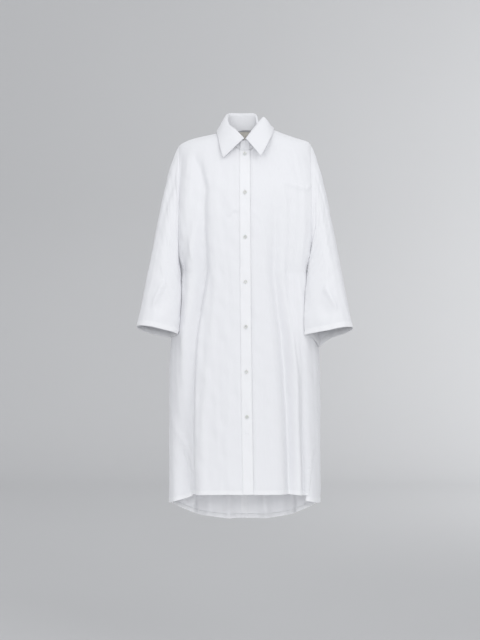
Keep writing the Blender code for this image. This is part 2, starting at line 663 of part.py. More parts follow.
def buttons():
    """Seven round buttons down the placket, each square to the cloth."""
    heights = [BUTTON_TOP_Z]
    heights += [BUTTON_SECOND_Z - BUTTON_PITCH * k for k in range(BUTTONS - 1)]
    for number, z in enumerate(heights, start=1):
        x = centre_line(np.array(z))
        pair = np.array([z + BUTTON_RADIUS, z - BUTTON_RADIUS])
        run = run_of(ridge_height(x) - pair)
        ends = body(angle_at(x, pair), run, -1 if x < 0 else 1)[0]
        lean = math.atan2(ends[0][1] - ends[1][1], ends[0][2] - ends[1][2])
        lift = CLOTH / 2 + SEAM_GAP + BUTTON_THICKNESS / 2
        middle = ends.mean(axis=0) + np.array([0, -math.cos(lean), math.sin(lean)]) * lift
        bpy.ops.mesh.primitive_cylinder_add(
            vertices=16, radius=BUTTON_RADIUS, depth=BUTTON_THICKNESS,
            location=middle.tolist(), rotation=(math.pi / 2 - lean, 0, 0))
        button = bpy.context.object
        button.name = f"button_{number}"
        button.data.materials.append(material(button.name, PEARL, 0.35))
        edge = button.modifiers.new("edge", "BEVEL")
        edge.width = 0.0004
        edge.segments = 1
        for group in button.users_collection:
            group.objects.unlink(button)
        dress.objects.link(button)


for old in list(bpy.data.objects):
    bpy.data.objects.remove(old)
dress = collection("shirt_dress")
fronts_and_backs()
sheet("yoke", yoke_points(), WHITE)
sheet("placket", placket_points(), WHITE)
sleeves()
sheet("collar_stand", stand_points(), WHITE)
sheet("collar_leaf", leaf_points(), WHITE)
label()
buttons()
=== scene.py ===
"""Oversized poplin shirt dress with its cloth, sewing and finishes.

Laid out as an add-on and run as a script. Every cloth piece is a surface worked out on
a grid of rows and columns. The body is described by two coordinates: an angle round the
section (0 at the centre front, 90 at the side, 180 at the centre back) and a run, the
distance down the cloth from the ridge of the shoulders. The wearer's right is -X, the
front faces -Y, and all sizes are in metres.
"""

import math

import bpy
import numpy as np
from bpy.props import (BoolProperty, FloatProperty, FloatVectorProperty, IntProperty,
                       PointerProperty)
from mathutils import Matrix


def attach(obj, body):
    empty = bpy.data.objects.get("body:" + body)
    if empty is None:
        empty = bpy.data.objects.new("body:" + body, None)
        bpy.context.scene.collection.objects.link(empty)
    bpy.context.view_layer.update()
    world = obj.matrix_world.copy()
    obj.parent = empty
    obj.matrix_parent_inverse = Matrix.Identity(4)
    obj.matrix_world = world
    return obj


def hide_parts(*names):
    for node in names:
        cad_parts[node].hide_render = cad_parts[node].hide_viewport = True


bl_info = {
    "name": "Shirt dress",
    "version": (1, 0, 0),
    "blender": (4, 5, 0),
    "location": "View3D > Sidebar > Shirt dress",
    "description": "Builds a worn, unfilled shirt dress in cotton poplin",
    "category": "Object",
}

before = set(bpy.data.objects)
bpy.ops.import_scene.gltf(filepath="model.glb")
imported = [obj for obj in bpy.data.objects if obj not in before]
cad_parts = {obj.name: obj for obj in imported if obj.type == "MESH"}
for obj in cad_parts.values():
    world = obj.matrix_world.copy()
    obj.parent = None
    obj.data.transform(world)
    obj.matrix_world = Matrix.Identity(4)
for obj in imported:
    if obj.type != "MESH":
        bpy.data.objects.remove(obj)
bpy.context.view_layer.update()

# ---------------------------------------------------------------- sizes of the cut
UNDERARM_GAP = 0.0010
SLEEVE_GAP = 0.0022
ARMHOLE_X = 0.197
UNDERARM_Z = -0.430
SLIT_TOP_Z = -0.957
SHOULDER_ROUND = 0.050
SECTION_POWER = 2.1
HALF_WIDTH = 0.224
DEPTH = 0.138
NECK_HALF_WIDTH = 0.066
NECK_FRONT_RUN = 0.130
NECK_BACK_RUN = 0.052
NECK_FRONT_SHAPE = 1.5
YOKE_FRONT_RUN = 0.032
YOKE_BACK_Z = -0.080
PLACKET_WIDTH = 0.032
PLACKET_DRIFT = 0.0095
LAP_WIDTH = 0.013
LAP_TOP = 0.004
LAP_DROP = 0.0019
LAP_HOLD = 0.0006
LAP_EASE = 0.009
BUTTON_TOP_Z = -0.0787
BUTTON_SECOND_Z = -0.1963
BUTTON_PITCH = 0.130
BUTTONS = 7
HEM_FRONT_Z = -1.073
HEM_FRONT_SIDE_Z = -1.090
HEM_BACK_SIDE_Z = -1.112
HEM_BACK_Z = -1.180
SLIT_LAP = 1.6
SLIT_SINK = 0.0009
SLIT_RISES = (0.122, 0.074)      # of the back hem, right and left
COLLAR_TURN = 0.006
COLLAR_ROLL = 0.0035
STAND_INSET = 0.0026
STAND_LAP = 0.0155
ARMHOLE_BULGE = 0.030
ARMHOLE_POWER = 1.25
CENTRE_GAP = 0.00015            # half the gap between the two backs
SEAM_REACH = 0.006              # of a side seam under its neighbour
SLIT_HEM = 0.009
SLIT_RELIEF = 0.014
SLIT_PUCKERS = {-1: (0.0004, 0.4), 1: (0.0007, 1.5)}    # by side: height, pucker
CENTRE_HEM = 0.010              # of the centre-back seam, pressed open
FRONT_RELIEF = 0.0004
BACK_RELIEF = 0.0003
CUFF_RELIEF = 0.0005
EDGE_RELIEF = 0.00025           # of the placket and the collar
TOP_TUCK = (0.005, 0.0009)      # of an upper edge: reach under its neighbour, step behind
PLACKET_TUCK = (0.006, 0.0010)
SLEEVE_TUCK = (0.0030, 0.0006)
LABEL_ROWS = (0.4 / 8, 2.6 / 8)         # of the yoke, as shares of its depth
LABEL_HALF = 0.05                       # as a share of the yoke's width
LABEL_APART = 0.0011
LABEL_SEAM = 0.0016
PLACKET_FOOT_Z = -0.894
HOLE_PLACE = 0.24               # of a button's holes, as shares of its radius
HOLE_SIZE = 0.135
FACE_LEVEL = 0.66               # of a button's face, as a share of its height

# Ridge of the shoulders, columns: x, height.
RIDGE = (
    (-0.230, -0.066), (-0.199, -0.048), (-0.190, -0.0395), (-0.159, -0.0255),
    (-0.120, -0.016), (-0.083, -0.0075), (-0.060, 0.003), (0.000, 0.034),
    (0.060, 0.013), (0.083, 0.004), (0.120, -0.0105), (0.159, -0.0235),
    (0.190, -0.0335), (0.199, -0.0435), (0.230, -0.062),
)

# Sections below the underarm, columns: height, half width.
SIDES = (
    (-1.250, 0.227), (-0.900, 0.2265), (-0.720, 0.225), (-0.620, 0.220),
    (-0.560, 0.210), (-0.500, 0.2015), (-0.460, 0.1985), (-0.430, 0.1970),
)

# Depth of the section before and behind the ridge, columns: height, front, back.
DEPTHS = (
    (-1.250, 0.146, 0.138), (-0.800, 0.141, 0.130), (-0.450, 0.137, 0.121),
    (-0.300, 0.132, 0.118), (-0.200, 0.121, 0.112), (-0.120, 0.098, 0.098),
    (-0.068, 0.080, 0.082), (-0.030, 0.068, 0.068), (0.040, 0.046, 0.050),
)

# Cloth that spans forward beside the sleeve, columns: height, reach, turn of its corner.
BRIDGE = (
    (-1.250, 0.000, 24.0), (-0.950, 0.000, 24.0), (-0.780, 0.010, 22.0),
    (-0.640, 0.028, 12.0), (-0.520, 0.036, 8.0), (-0.400, 0.030, 10.0),
    (-0.280, 0.016, 20.0), (-0.170, 0.007, 24.0), (-0.090, 0.000, 24.0),
    (0.000, 0.000, 24.0),
)

# Side seams, columns: height, angle right, angle left.
SIDE_SEAMS = (
    (-1.250, 50.0, 54.0), (-1.090, 52.0, 56.0), (-0.990, 55.0, 61.0),
    (-0.957, 58.0, 64.0), (-0.900, 67.0, 68.0), (-0.810, 73.0, 76.0),
    (-0.640, 67.0, 86.0), (-0.560, 75.0, 88.0), (-0.500, 85.0, 89.0),
    (-0.430, 90.0, 90.0),
)

# Long folds, each with its half widths towards -X and +X, then its x and its depth (out
# is +) at FOLD_Z.
FOLD_Z = (-0.06, -0.20, -0.35, -0.55, -0.75, -0.92, -1.10)
FRONT_FOLDS = (
    (0.026, 0.012, (-0.154, -0.120, -0.125, -0.150, -0.157, -0.161, -0.157),
                   (-0.003, -0.009, -0.013, -0.017, -0.019, -0.022, -0.025)),
    (0.024, 0.022, (-0.176, -0.150, -0.158, -0.172, -0.180, -0.186, -0.182),
                   (0.000, 0.003, 0.006, 0.008, 0.003, -0.016, -0.032)),
    (0.015, 0.015, (-0.110, -0.090, -0.092, -0.100, -0.112, -0.124, -0.121),
                   (0.000, 0.002, 0.003, 0.003, 0.004, 0.005, 0.007)),
    (0.018, 0.013, (0.080, 0.084, 0.093, 0.108, 0.121, 0.130, 0.136),
                   (0.000, -0.003, -0.009, -0.014, -0.017, -0.019, -0.022)),
    (0.013, 0.013, (0.120, 0.118, 0.124, 0.134, 0.148, 0.153, 0.160),
                   (0.000, 0.002, 0.003, 0.005, 0.007, 0.007, 0.006)),
    (0.016, 0.016, (-0.200, -0.200, -0.200, -0.205, -0.205, -0.205, -0.205),
                   (-0.003, -0.004, -0.003, 0.000, 0.000, 0.000, 0.000)),
    (0.012, 0.012, (0.165, 0.160, 0.160, 0.165, 0.170, 0.172, 0.178),
                   (0.000, -0.002, -0.002, -0.003, -0.006, -0.011, -0.016)),
)
BACK_FOLDS = (
    (0.014, 0.024, (-0.150, -0.148, -0.150, -0.150, -0.152, -0.156, -0.160),
                   (0.000, -0.006, -0.010, -0.012, -0.014, -0.016, -0.018)),
    (0.020, 0.020, (-0.105, -0.102, -0.103, -0.104, -0.104, -0.105, -0.106),
                   (0.000, 0.003, 0.007, 0.008, 0.009, 0.011, 0.013)),
    (0.020, 0.013, (-0.060, -0.060, -0.058, -0.056, -0.054, -0.052, -0.050),
                   (0.000, -0.002, -0.005, -0.008, -0.010, -0.012, -0.013)),
    (0.014, 0.021, (0.050, 0.052, 0.055, 0.058, 0.062, 0.064, 0.066),
                   (0.000, -0.003, -0.006, -0.008, -0.011, -0.013, -0.015)),
    (0.020, 0.020, (0.100, 0.101, 0.104, 0.106, 0.110, 0.112, 0.114),
                   (0.000, 0.003, 0.006, 0.009, 0.010, 0.011, 0.012)),
    (0.023, 0.014, (0.150, 0.150, 0.154, 0.158, 0.162, 0.164, 0.166),
                   (0.000, -0.005, -0.009, -0.011, -0.012, -0.014, -0.016)),
)

# Creases of the fronts, columns: half width, depth (out is +), then x and z of the
# points that the crease runs through.
FRONT_CREASES = (
    (0.010, -0.0022, ((-0.152, -0.070), (-0.133, -0.117), (-0.113, -0.178), (-0.108, -0.215))),
    (0.007, 0.0012, ((-0.142, -0.075), (-0.122, -0.125), (-0.101, -0.185))),
    (0.012, 0.0022, ((-0.122, -0.205), (-0.140, -0.297), (-0.153, -0.364), (-0.162, -0.440))),
    (0.014, -0.0052, ((-0.139, -0.120), (-0.150, -0.200), (-0.157, -0.267), (-0.172, -0.340),
                      (-0.184, -0.410), (-0.190, -0.470))),
    (0.008, -0.0034, ((-0.188, -0.055), (-0.194, -0.110), (-0.196, -0.180), (-0.197, -0.260))),
    (0.007, 0.0010, ((-0.171, -0.080), (-0.172, -0.150))),
    (0.0080, 0.0028, ((0.104, -0.158), (0.123, -0.166), (0.163, -0.175), (0.192, -0.187))),
    (0.0150, -0.0010, ((0.110, -0.184), (0.140, -0.192), (0.180, -0.201))),
    (0.0040, 0.0022, ((0.178, -0.184), (0.190, -0.174), (0.197, -0.166))),
    (0.009, -0.0010, ((0.090, -0.233), (0.088, -0.312), (0.094, -0.380))),
    (0.012, -0.0016, ((0.130, -0.195), (0.130, -0.291), (0.131, -0.393))),
    (0.008, -0.0014, ((0.179, -0.300), (0.183, -0.378), (0.189, -0.440))),
    (0.006, 0.0018, ((-0.052, -0.268), (-0.033, -0.241), (-0.017, -0.254))),
    (0.006, -0.0014, ((-0.050, -0.282), (-0.030, -0.256), (-0.017, -0.268))),
    (0.006, 0.0016, ((0.018, -0.244), (0.047, -0.276), (0.061, -0.320))),
    (0.005, -0.0018, ((0.148, -0.600), (0.150, -0.654), (0.157, -0.698), (0.163, -0.745))),
    (0.005, -0.0016, ((0.159, -0.735), (0.160, -0.872), (0.163, -0.930))),
    (0.006, 0.0022, ((-0.208, -0.880), (-0.189, -0.931), (-0.177, -0.970), (-0.168, -1.020))),
    (0.010, -0.0012, ((-0.070, -0.880), (-0.075, -0.988), (-0.081, -1.060))),
    (0.012, -0.0010, ((0.060, -0.700), (0.066, -0.860), (0.070, -1.060))),
    (0.010, 0.0010, ((-0.040, -0.560), (-0.046, -0.760), (-0.050, -0.980))),
    (0.009, -0.0009, ((0.040, -0.100), (0.052, -0.150), (0.050, -0.215))),
    (0.008, 0.0009, ((0.150, -0.075), (0.158, -0.120), (0.160, -0.160))),
    (0.007, -0.0010, ((-0.062, -0.110), (-0.058, -0.165), (-0.066, -0.230))),
    (0.006, 0.0020, ((0.192, -0.366), (0.192, -0.428))),
)
BACK_CREASES = (
    (0.010, -0.0020, ((-0.150, -0.095), (-0.130, -0.150), (-0.116, -0.230), (-0.112, -0.330))),
    (0.008, 0.0014, ((0.160, -0.095), (0.140, -0.150), (0.122, -0.210))),
    (0.006, 0.0013, ((-0.186, -0.190), (-0.150, -0.182), (-0.112, -0.170))),
    (0.009, -0.0014, ((0.186, -0.205), (0.152, -0.190), (0.118, -0.182))),
    (0.010, -0.0012, ((-0.030, -0.120), (-0.034, -0.260), (-0.030, -0.400))),
    (0.010, 0.0012, ((0.026, -0.180), (0.030, -0.330), (0.026, -0.500))),
    (0.006, -0.0016, ((0.150, -0.480), (0.156, -0.560), (0.160, -0.660))),
    (0.006, 0.0014, ((-0.160, -0.520), (-0.166, -0.600), (-0.168, -0.700))),
    (0.012, -0.0014, ((-0.080, -0.640), (-0.084, -0.860), (-0.080, -1.100))),
    (0.011, 0.0012, ((0.085, -0.700), (0.088, -0.900), (0.084, -1.120))),
    (0.008, -0.0010, ((0.010, -0.820), (0.014, -0.960), (0.012, -1.140))),
)

# Creases of the sleeves, columns: half width, depth, then the place round the sleeve
# (0 at the top, 0.25 in front) and the place down it (0 to 1) of its points.
SLEEVE_CREASES = {
    "right": (
        (0.0065, 0.0050, ((0.290, 0.62), (0.240, 0.77), (0.185, 0.92))),
        (0.0140, -0.0026, ((0.335, 0.66), (0.290, 0.79), (0.245, 0.93))),
        (0.0130, -0.0018, ((0.235, 0.62), (0.180, 0.77), (0.125, 0.90))),
        (0.014, -0.0010, ((0.300, 0.10), (0.320, 0.30), (0.340, 0.52), (0.370, 0.70))),
        (0.014, 0.0008, ((0.200, 0.06), (0.230, 0.26), (0.240, 0.46))),
        (0.016, -0.0006, ((0.130, 0.12), (0.140, 0.40), (0.120, 0.66))),
        (0.010, -0.0030, ((0.700, 0.10), (0.720, 0.34), (0.740, 0.58))),
        (0.009, 0.0026, ((0.800, 0.42), (0.780, 0.62), (0.740, 0.84))),
        (0.011, -0.0024, ((0.880, 0.20), (0.900, 0.48), (0.880, 0.74))),
        (0.006, 0.0016, ((0.620, 0.30), (0.690, 0.36), (0.760, 0.34))),
    ),
    "left": (
        (0.0065, 0.0052, ((0.290, 0.66), (0.245, 0.79), (0.190, 0.92))),
        (0.0140, -0.0026, ((0.335, 0.68), (0.295, 0.81), (0.250, 0.94))),
        (0.0130, -0.0018, ((0.238, 0.64), (0.188, 0.78), (0.132, 0.91))),
        (0.014, -0.0008, ((0.310, 0.08), (0.330, 0.28), (0.350, 0.50))),
        (0.007, 0.0022, ((0.300, 0.16), (0.255, 0.12), (0.205, 0.08))),
        (0.016, -0.0005, ((0.150, 0.14), (0.150, 0.42), (0.120, 0.70))),
        (0.010, -0.0030, ((0.700, 0.12), (0.730, 0.36), (0.730, 0.60))),
        (0.009, 0.0026, ((0.810, 0.40), (0.790, 0.60), (0.750, 0.86))),
        (0.011, -0.0024, ((0.890, 0.22), (0.900, 0.50), (0.890, 0.76))),
        (0.006, 0.0016, ((0.630, 0.26), (0.700, 0.30), (0.770, 0.27))),
    ),
}

# Shallow waves all over the cloth, columns: waves a metre round, down, phase, height.
RIPPLES = (
    (31.0, 1.6, 0.4, 0.00028), (19.0, 5.2, 1.9, 0.00030), (47.0, 3.1, 3.3, 0.00016),
    (13.0, 9.7, 5.1, 0.00034), (26.0, 12.4, 0.9, 0.00020), (8.0, 21.0, 2.6, 0.00022),
)

# Sleeve hems, columns: side, centre x, centre y, centre z, half width out from the
# body, rise of the outer edge, half depth, rise of the front edge, droop at the back.
SLEEVE_HEMS = {
    "right": (-1, -0.2606, -0.090, -0.600, 0.0564, 0.0125, 0.058, 0.012, 0.002),
    "left": (1, 0.2595, -0.093, -0.605, 0.0570, 0.0130, 0.058, 0.013, 0.024),
}
SLEEVE_LAPS = {"right": 0.012, "left": 0.036}
SLEEVE_AXIS = (0.20, -0.17, -0.96)
SLEEVE_ARRIVAL = (0.150, 0.110)
DROOP_PLACE = (0.615, 0.085)
SLEEVE_GIRTH = 0.40             # to turn places on a sleeve into distances
SLEEVE_LENGTH = 0.55
LAP_SPAN = ((0.27, 0.17), (0.51, 0.07))         # of a sleeve's lap: start and end round it
LAP_GROWTH = ((0.4, 0.0, 0.20), (0.6, 0.10, 0.75))      # share, start and reach down it

# How the cloth leaves the armhole, columns: place round it, direction out, back and up,
# reach of the curve.
SLEEVE_LEAVES = (
    (0.000, 0.48, -0.05, -0.88, 0.090), (0.250, 0.70, -0.15, -0.66, 0.060),
    (0.375, -0.05, -0.50, -0.50, 0.045), (0.440, -0.20, -0.80, -0.50, 0.050),
    (0.500, 0.00, -0.80, -0.44, 0.035), (0.625, 0.59, -0.30, -0.50, 0.040),
    (0.750, 0.70, 0.05, -0.66, 0.060), (1.000, 0.48, -0.05, -0.88, 0.090),
)

# Collar leaf, columns: name, crest x, y, z, edge x, y, z, swing out over the crest.
COLLAR = (
    ("right point", -0.0018, -0.0830, -0.0330, -0.0640, -0.0945, -0.0930, 0.013),
    ("right front", -0.0262, -0.0690, -0.0062, -0.0735, -0.0800, -0.0570, 0.013),
    ("right turn", -0.0480, -0.0380, 0.0157, -0.0805, -0.0450, -0.0190, 0.012),
    ("right side", -0.0540, -0.0050, 0.0370, -0.0840, -0.0050, -0.0020, 0.009),
    ("right back", -0.0530, 0.0220, 0.0530, -0.0790, 0.0330, 0.0020, 0.008),
    ("right nape", -0.0380, 0.0430, 0.0595, -0.0540, 0.0620, 0.0060, 0.010),
    ("nape", -0.0080, 0.0520, 0.0600, -0.0060, 0.0730, 0.0090, 0.012),
    ("left nape", 0.0240, 0.0470, 0.0600, 0.0300, 0.0680, 0.0090, 0.008),
    ("left back", 0.0355, 0.0385, 0.0530, 0.0420, 0.0620, 0.0080, 0.005),
    ("left fall", 0.0390, 0.0290, 0.0330, 0.0560, 0.0500, 0.0050, 0.005),
    ("left dip", 0.0450, 0.0150, 0.0190, 0.0720, 0.0300, 0.0050, 0.006),
    ("left rise", 0.0560, -0.0100, 0.0220, 0.0870, -0.0060, 0.0080, 0.008),
    ("left peak", 0.0560, -0.0320, 0.0368, 0.0850, -0.0380, -0.0060, 0.008),
    ("left front", 0.0300, -0.0640, 0.0040, 0.0680, -0.0900, -0.0480, 0.012),
    ("left point", 0.0025, -0.0850, -0.0340, 0.0470, -0.1120, -0.0892, 0.013),
)

# Sewn lines of the pieces, by piece: edge of the grid, distance in from it.
SEAM_LINES = {
    "front_right": (("bottom", 0.0112), ("bottom", 0.0162), ("outer", 0.0060)),
    "front_left": (("bottom", 0.0112), ("bottom", 0.0162), ("outer", 0.0060)),
    "back_right": (("bottom", 0.0112), ("outer", 0.0060)),
    "back_left": (("bottom", 0.0112), ("outer", 0.0060)),
    "yoke": (("front", 0.0018), ("back", 0.0018)),
    "placket": (("left", 0.0024), ("right", 0.0024)),
    "sleeve_right": (("bottom", 0.0140),),
    "sleeve_left": (("bottom", 0.0140),),
    "collar_leaf": (("bottom", 0.0052), ("left", 0.0052), ("right", 0.0052)),
    "collar_stand": (("top", 0.0022),),
}

# Edges of a grid that run down its columns, and those at the ends of its rows or columns.
SIDEWAYS = ("left", "inner", "right", "outer")
FAR_EDGES = ("bottom", "back", "right", "outer")

# Lights, columns: name, place, aim, size, power among the stage's settings.
LIGHTS = (
    ("key light", (2.0, -2.8, 1.3), (0.0, 0.0, -0.5), 1.8, "key"),
    ("fill light", (-1.5, -3.6, 0.3), (0.0, 0.0, -0.35), 1.2, "fill"),
    ("front light", (0.05, -3.9, -0.30), (0.0, 0.0, -0.2), 0.5, "front"),
    ("backdrop light", (4.2, 2.6, 0.2), (2.2, 6.5, -0.4), 2.0, "back"),
    ("bounce light", (0.0, -0.10, -1.60), (0.0, 0.10, -1.10), 0.5, "bounce"),
)

grids = {}                      # finished surfaces by piece: points and normals


# ---------------------------------------------------------------- properties
class DressSizes(bpy.types.PropertyGroup):
    """Sizes of the cloth and the sewing."""
    wall: FloatProperty(
        name="Cloth", description="Thickness of one layer of poplin",
        default=0.0005, min=0.0002, unit="LENGTH")
    doubled: FloatProperty(
        name="Doubled cloth", description="Thickness of the collar and the placket",
        default=0.0010, min=0.0004, unit="LENGTH")
    turn: FloatProperty(
        name="Turn-up", description="Distance of a turned hem behind its face",
        default=0.0008, min=0.0004, unit="LENGTH")
    hem: FloatProperty(
        name="Hem", description="Depth of the hem", default=0.013, unit="LENGTH")
    cuff: FloatProperty(
        name="Cuff hem", description="Depth of the sleeve's hem",
        default=0.016, unit="LENGTH")
    crease: FloatProperty(
        name="Creases", description="Strength of the placed creases",
        default=1.0, min=0.0, max=2.0, subtype="FACTOR")
    ripple: FloatProperty(
        name="Ripples", description="Strength of the shallow waves of the cloth",
        default=1.0, min=0.0, max=2.0, subtype="FACTOR")
    stitch: FloatProperty(
        name="Stitch", description="Length of a topstitch", default=0.0026, unit="LENGTH")
    pitch: FloatProperty(
        name="Stitch spacing", description="Distance between topstitches",
        default=0.0034, unit="LENGTH")
    thread: FloatProperty(
        name="Thread", description="Radius of the sewing thread",
        default=0.00022, unit="LENGTH")
    button: FloatProperty(
        name="Button radius", description="Radius of a button",
        default=0.0053, unit="LENGTH")
    button_height: FloatProperty(
        name="Button thickness", description="Thickness of a button",
        default=0.0024, unit="LENGTH")
    buttonhole: FloatProperty(
        name="Buttonhole", description="Length of a buttonhole",
        default=0.0150, unit="LENGTH")
    rows: IntProperty(
        name="Rows", description="Rows of a long panel from the underarm to the slit",
        default=116, min=20)


class DressColours(bpy.types.PropertyGroup):
    """Colours of the finishes."""
    poplin: FloatVectorProperty(
        name="Poplin", description="One layer of the cloth", subtype="COLOR", size=4,
        default=(0.80, 0.805, 0.825, 1.0))
    doubled: FloatVectorProperty(
        name="Doubled poplin", description="Cloth where layers lie on each other",
        subtype="COLOR", size=4, default=(0.835, 0.84, 0.855, 1.0))
    thread: FloatVectorProperty(
        name="Thread", description="Sewing thread", subtype="COLOR", size=4,
        default=(0.80, 0.81, 0.83, 1.0))
    # Label: a cream made lighter than the tape's own tone. This is painted light that makes up
    # for the shade inside the neck.
    label: FloatVectorProperty(
        name="Label", description="Neck label", subtype="COLOR", size=4,
        default=(1.0, 0.96, 0.87, 1.0))
    button: FloatVectorProperty(
        name="Button", description="Button", subtype="COLOR", size=4,
        default=(0.72, 0.71, 0.68, 1.0))
    backdrop: FloatVectorProperty(
        name="Backdrop", description="Floor and backdrop", subtype="COLOR", size=4,
        default=(0.55, 0.553, 0.56, 1.0))


class DressStage(bpy.types.PropertyGroup):
    """Camera and light."""
    distance: FloatProperty(
        name="Camera distance", description="Distance of the camera from the dress",
        default=4.0, unit="LENGTH")
    lens: FloatProperty(
        name="Lens", description="Focal length in millimetres", default=75.0)
    height: FloatProperty(
        name="Camera height", description="Height of the camera", default=-0.567,
        unit="LENGTH")
    aside: FloatProperty(
        name="Camera aside", description="Sideways place of the camera",
        default=-0.0141, unit="LENGTH")
    key: FloatProperty(
        name="Key light", description="Power of the main soft light", default=23.0,
        unit="POWER")
    fill: FloatProperty(
        name="Fill light", description="Power of the fill light", default=17.0,
        unit="POWER")
    front: FloatProperty(
        name="Front light", description="Power of the small light before the dress",
        default=19.0, unit="POWER")
    back: FloatProperty(
        name="Backdrop light", description="Power of the light on the backdrop",
        default=110.0, unit="POWER")
    bounce: FloatProperty(
        name="Bounce light", description="Power of the light that the floor returns",
        default=2.0, unit="POWER")
    floor: FloatProperty(
        name="Floor", description="Height of the floor", default=-1.62, unit="LENGTH")
    panel: BoolProperty(
        name="Backdrop", description="Add the floor and the backdrop", default=True)


# ---------------------------------------------------------------- curves and tables
def curve(at, knots, values):
    """Smooth curve through the knots that never overshoots, evaluated at `at`."""
    knots = np.asarray(knots, float)
    values = np.asarray(values, float)
    order = np.argsort(knots)
    knots, values = knots[order], values[order]
    step = np.diff(knots)
    slope = np.diff(values) / step
    tangent = np.zeros(len(knots))
    same = slope[:-1] * slope[1:] > 0
    harmonic = 2 * slope[:-1] * slope[1:] / np.where(same, slope[:-1] + slope[1:], 1)
    tangent[1:-1] = np.where(same, harmonic, 0)
    tangent[0], tangent[-1] = slope[0], slope[-1]
    at = np.clip(np.asarray(at, float), knots[0], knots[-1])
    cell = np.clip(np.searchsorted(knots, at) - 1, 0, len(step) - 1)
    f = (at - knots[cell]) / step[cell]
    rise = values[cell + 1] - values[cell]
    bend_in = step[cell] * tangent[cell] - rise
    bend_out = rise - step[cell] * tangent[cell + 1]
    return values[cell] + f * rise + f * (1 - f) * ((1 - f) * bend_in + f * bend_out)


def column(table, at, index):
    """Curve through one column of a table whose first column is the height."""
    return curve(at, [row[0] for row in table], [row[index] for row in table])


def smooth(at):
    """Smooth step from 0 to 1: the cubic 3t^2 - 2t^3 of the clipped value."""
    at = np.clip(at, 0, 1)
    return at * at * (3 - 2 * at)


def stops(*marks):
    """Places along a line: its start, then a count and the next place, to its end.

    Each stretch between two places is cut evenly by a count that takes in both of them.
    """
    parts = [np.linspace(marks[k], marks[k + 2], marks[k + 1])
             for k in range(0, len(marks) - 2, 2)]
    return np.concatenate([part[:-1] for part in parts[:-1]] + parts[-1:])


def distances(grid):
    """Distance down each column of a grid, or along a line, from its first row."""
    steps = np.linalg.norm(np.diff(grid, axis=0), axis=-1)
    return np.concatenate([np.zeros((1,) + steps.shape[1:]), np.cumsum(steps, axis=0)])


def ridge_height(x):
    """Height of the shoulder ridge at x."""
    return column(RIDGE, x, 1)


def half_width(z):
    """Half width of the body's section at height z.

    Above the underarm it is the armhole's x plus a bulge (1 - r^2)^power of the height
    r, which runs from -1 to 1. Below the underarm it is the curve through SIDES.
    """
    top = ridge_height(ARMHOLE_X)
    middle = (top + UNDERARM_Z) / 2
    reach = (z - middle) / (top - middle)
    bulge = ARMHOLE_BULGE * np.clip(1 - reach * reach, 0.0, 1.0) ** ARMHOLE_POWER
    above = np.where(z > top, ARMHOLE_X + 0.001, ARMHOLE_X + 0.00002 + bulge)
    return np.where(z > UNDERARM_Z, above, column(SIDES, z, 1))


def drop(run):
    """Height lost over a run from the ridge: a quarter turn, then straight down."""
    turn = np.clip(run / SHOULDER_ROUND, 0, math.pi / 2)
    straight = np.maximum(run - SHOULDER_ROUND * math.pi / 2, 0)
    return SHOULDER_ROUND * (1 - np.cos(turn)) + straight


def run_of(fall):
    """Run that loses the height `fall`, the inverse of drop."""
    turned = SHOULDER_ROUND * np.arccos(np.clip(1 - fall / SHOULDER_ROUND, 0, 1))
    return turned + np.maximum(fall - SHOULDER_ROUND, 0)


def arc_table():
    """Distance round half the mean section at each of 181 angles."""
    turn = np.radians(np.linspace(0, 180, 181))
    pace = np.hypot(HALF_WIDTH * np.cos(turn), DEPTH * np.sin(turn))
    return np.concatenate([[0], np.cumsum((pace[1:] + pace[:-1]) / 2) * math.radians(1)])


def fold_height(angle, z, side):
    """Sum of the long folds: a bell curve round each fold's path, times its depth.

    The bell has a width of its own on each side, so that one flank is the steeper.
    """
    sweep = np.linspace(0, 180, 181)
    arc = arc_table()
    here = np.interp(np.abs(angle), sweep, arc) * side * np.where(angle < 0, -1, 1)
    total = np.zeros(np.broadcast(angle, z).shape)
    for folds, behind in ((FRONT_FOLDS, False), (BACK_FOLDS, True)):
        for left, right, path, depth in folds:
            x = curve(z, FOLD_Z, path)
            reach = np.clip(np.abs(x) / HALF_WIDTH, 0, 1) ** (SECTION_POWER / 2)
            centre = np.degrees(np.arcsin(reach))
            centre = 180 - centre if behind else centre
            gap = here - np.interp(centre, sweep, arc) * np.sign(x)
            gap = (gap + arc[-1]) % (2 * arc[-1]) - arc[-1]
            width = np.where(gap < 0, left, right)
            total = total + curve(z, FOLD_Z, depth) * np.exp(-((gap / width) ** 2))
    return total


def crease_height(u, v, creases):
    """Sum of creases on a plane: a bell across each crease, fading out at both ends.

    The distance is taken to the nearest stretch of the crease. The fade is a smooth step
    of 1.6 times the sine of half a turn, at the share along the crease.
    """
    total = np.zeros(np.broadcast(u, v).shape)
    for width, depth, path in creases:
        points = np.array(path)
        steps = np.diff(points, axis=0)
        lengths = np.linalg.norm(steps, axis=1)
        nearest = np.full(total.shape, 1e9)
        share = np.zeros(total.shape)
        done = 0.0
        for start, step, length in zip(points, steps, lengths):
            t = ((u - start[0]) * step[0] + (v - start[1]) * step[1]) / length ** 2
            t = np.clip(t, 0, 1)
            away = np.hypot(u - start[0] - t * step[0], v - start[1] - t * step[1])
            share = np.where(away < nearest, (done + t * length) / lengths.sum(), share)
            nearest = np.minimum(away, nearest)
            done += length
        fade = smooth(1.6 * np.sin(np.pi * share))
        total = total + depth * fade * np.exp(-((nearest / width) ** 2))
    return total


def ripple_height(u, v):
    """Sum of the shallow waves, sines of a mix of the two distances."""
    total = np.zeros(np.broadcast(u, v).shape)
    for across, down, phase, height in RIPPLES:
        bend = 0.35 * np.sin(2 * np.pi * (v * down * 0.31 + u * 2.3) + phase)
        total = total + height * np.sin(2 * np.pi * (u * across + v * down) + phase + bend)
    return total


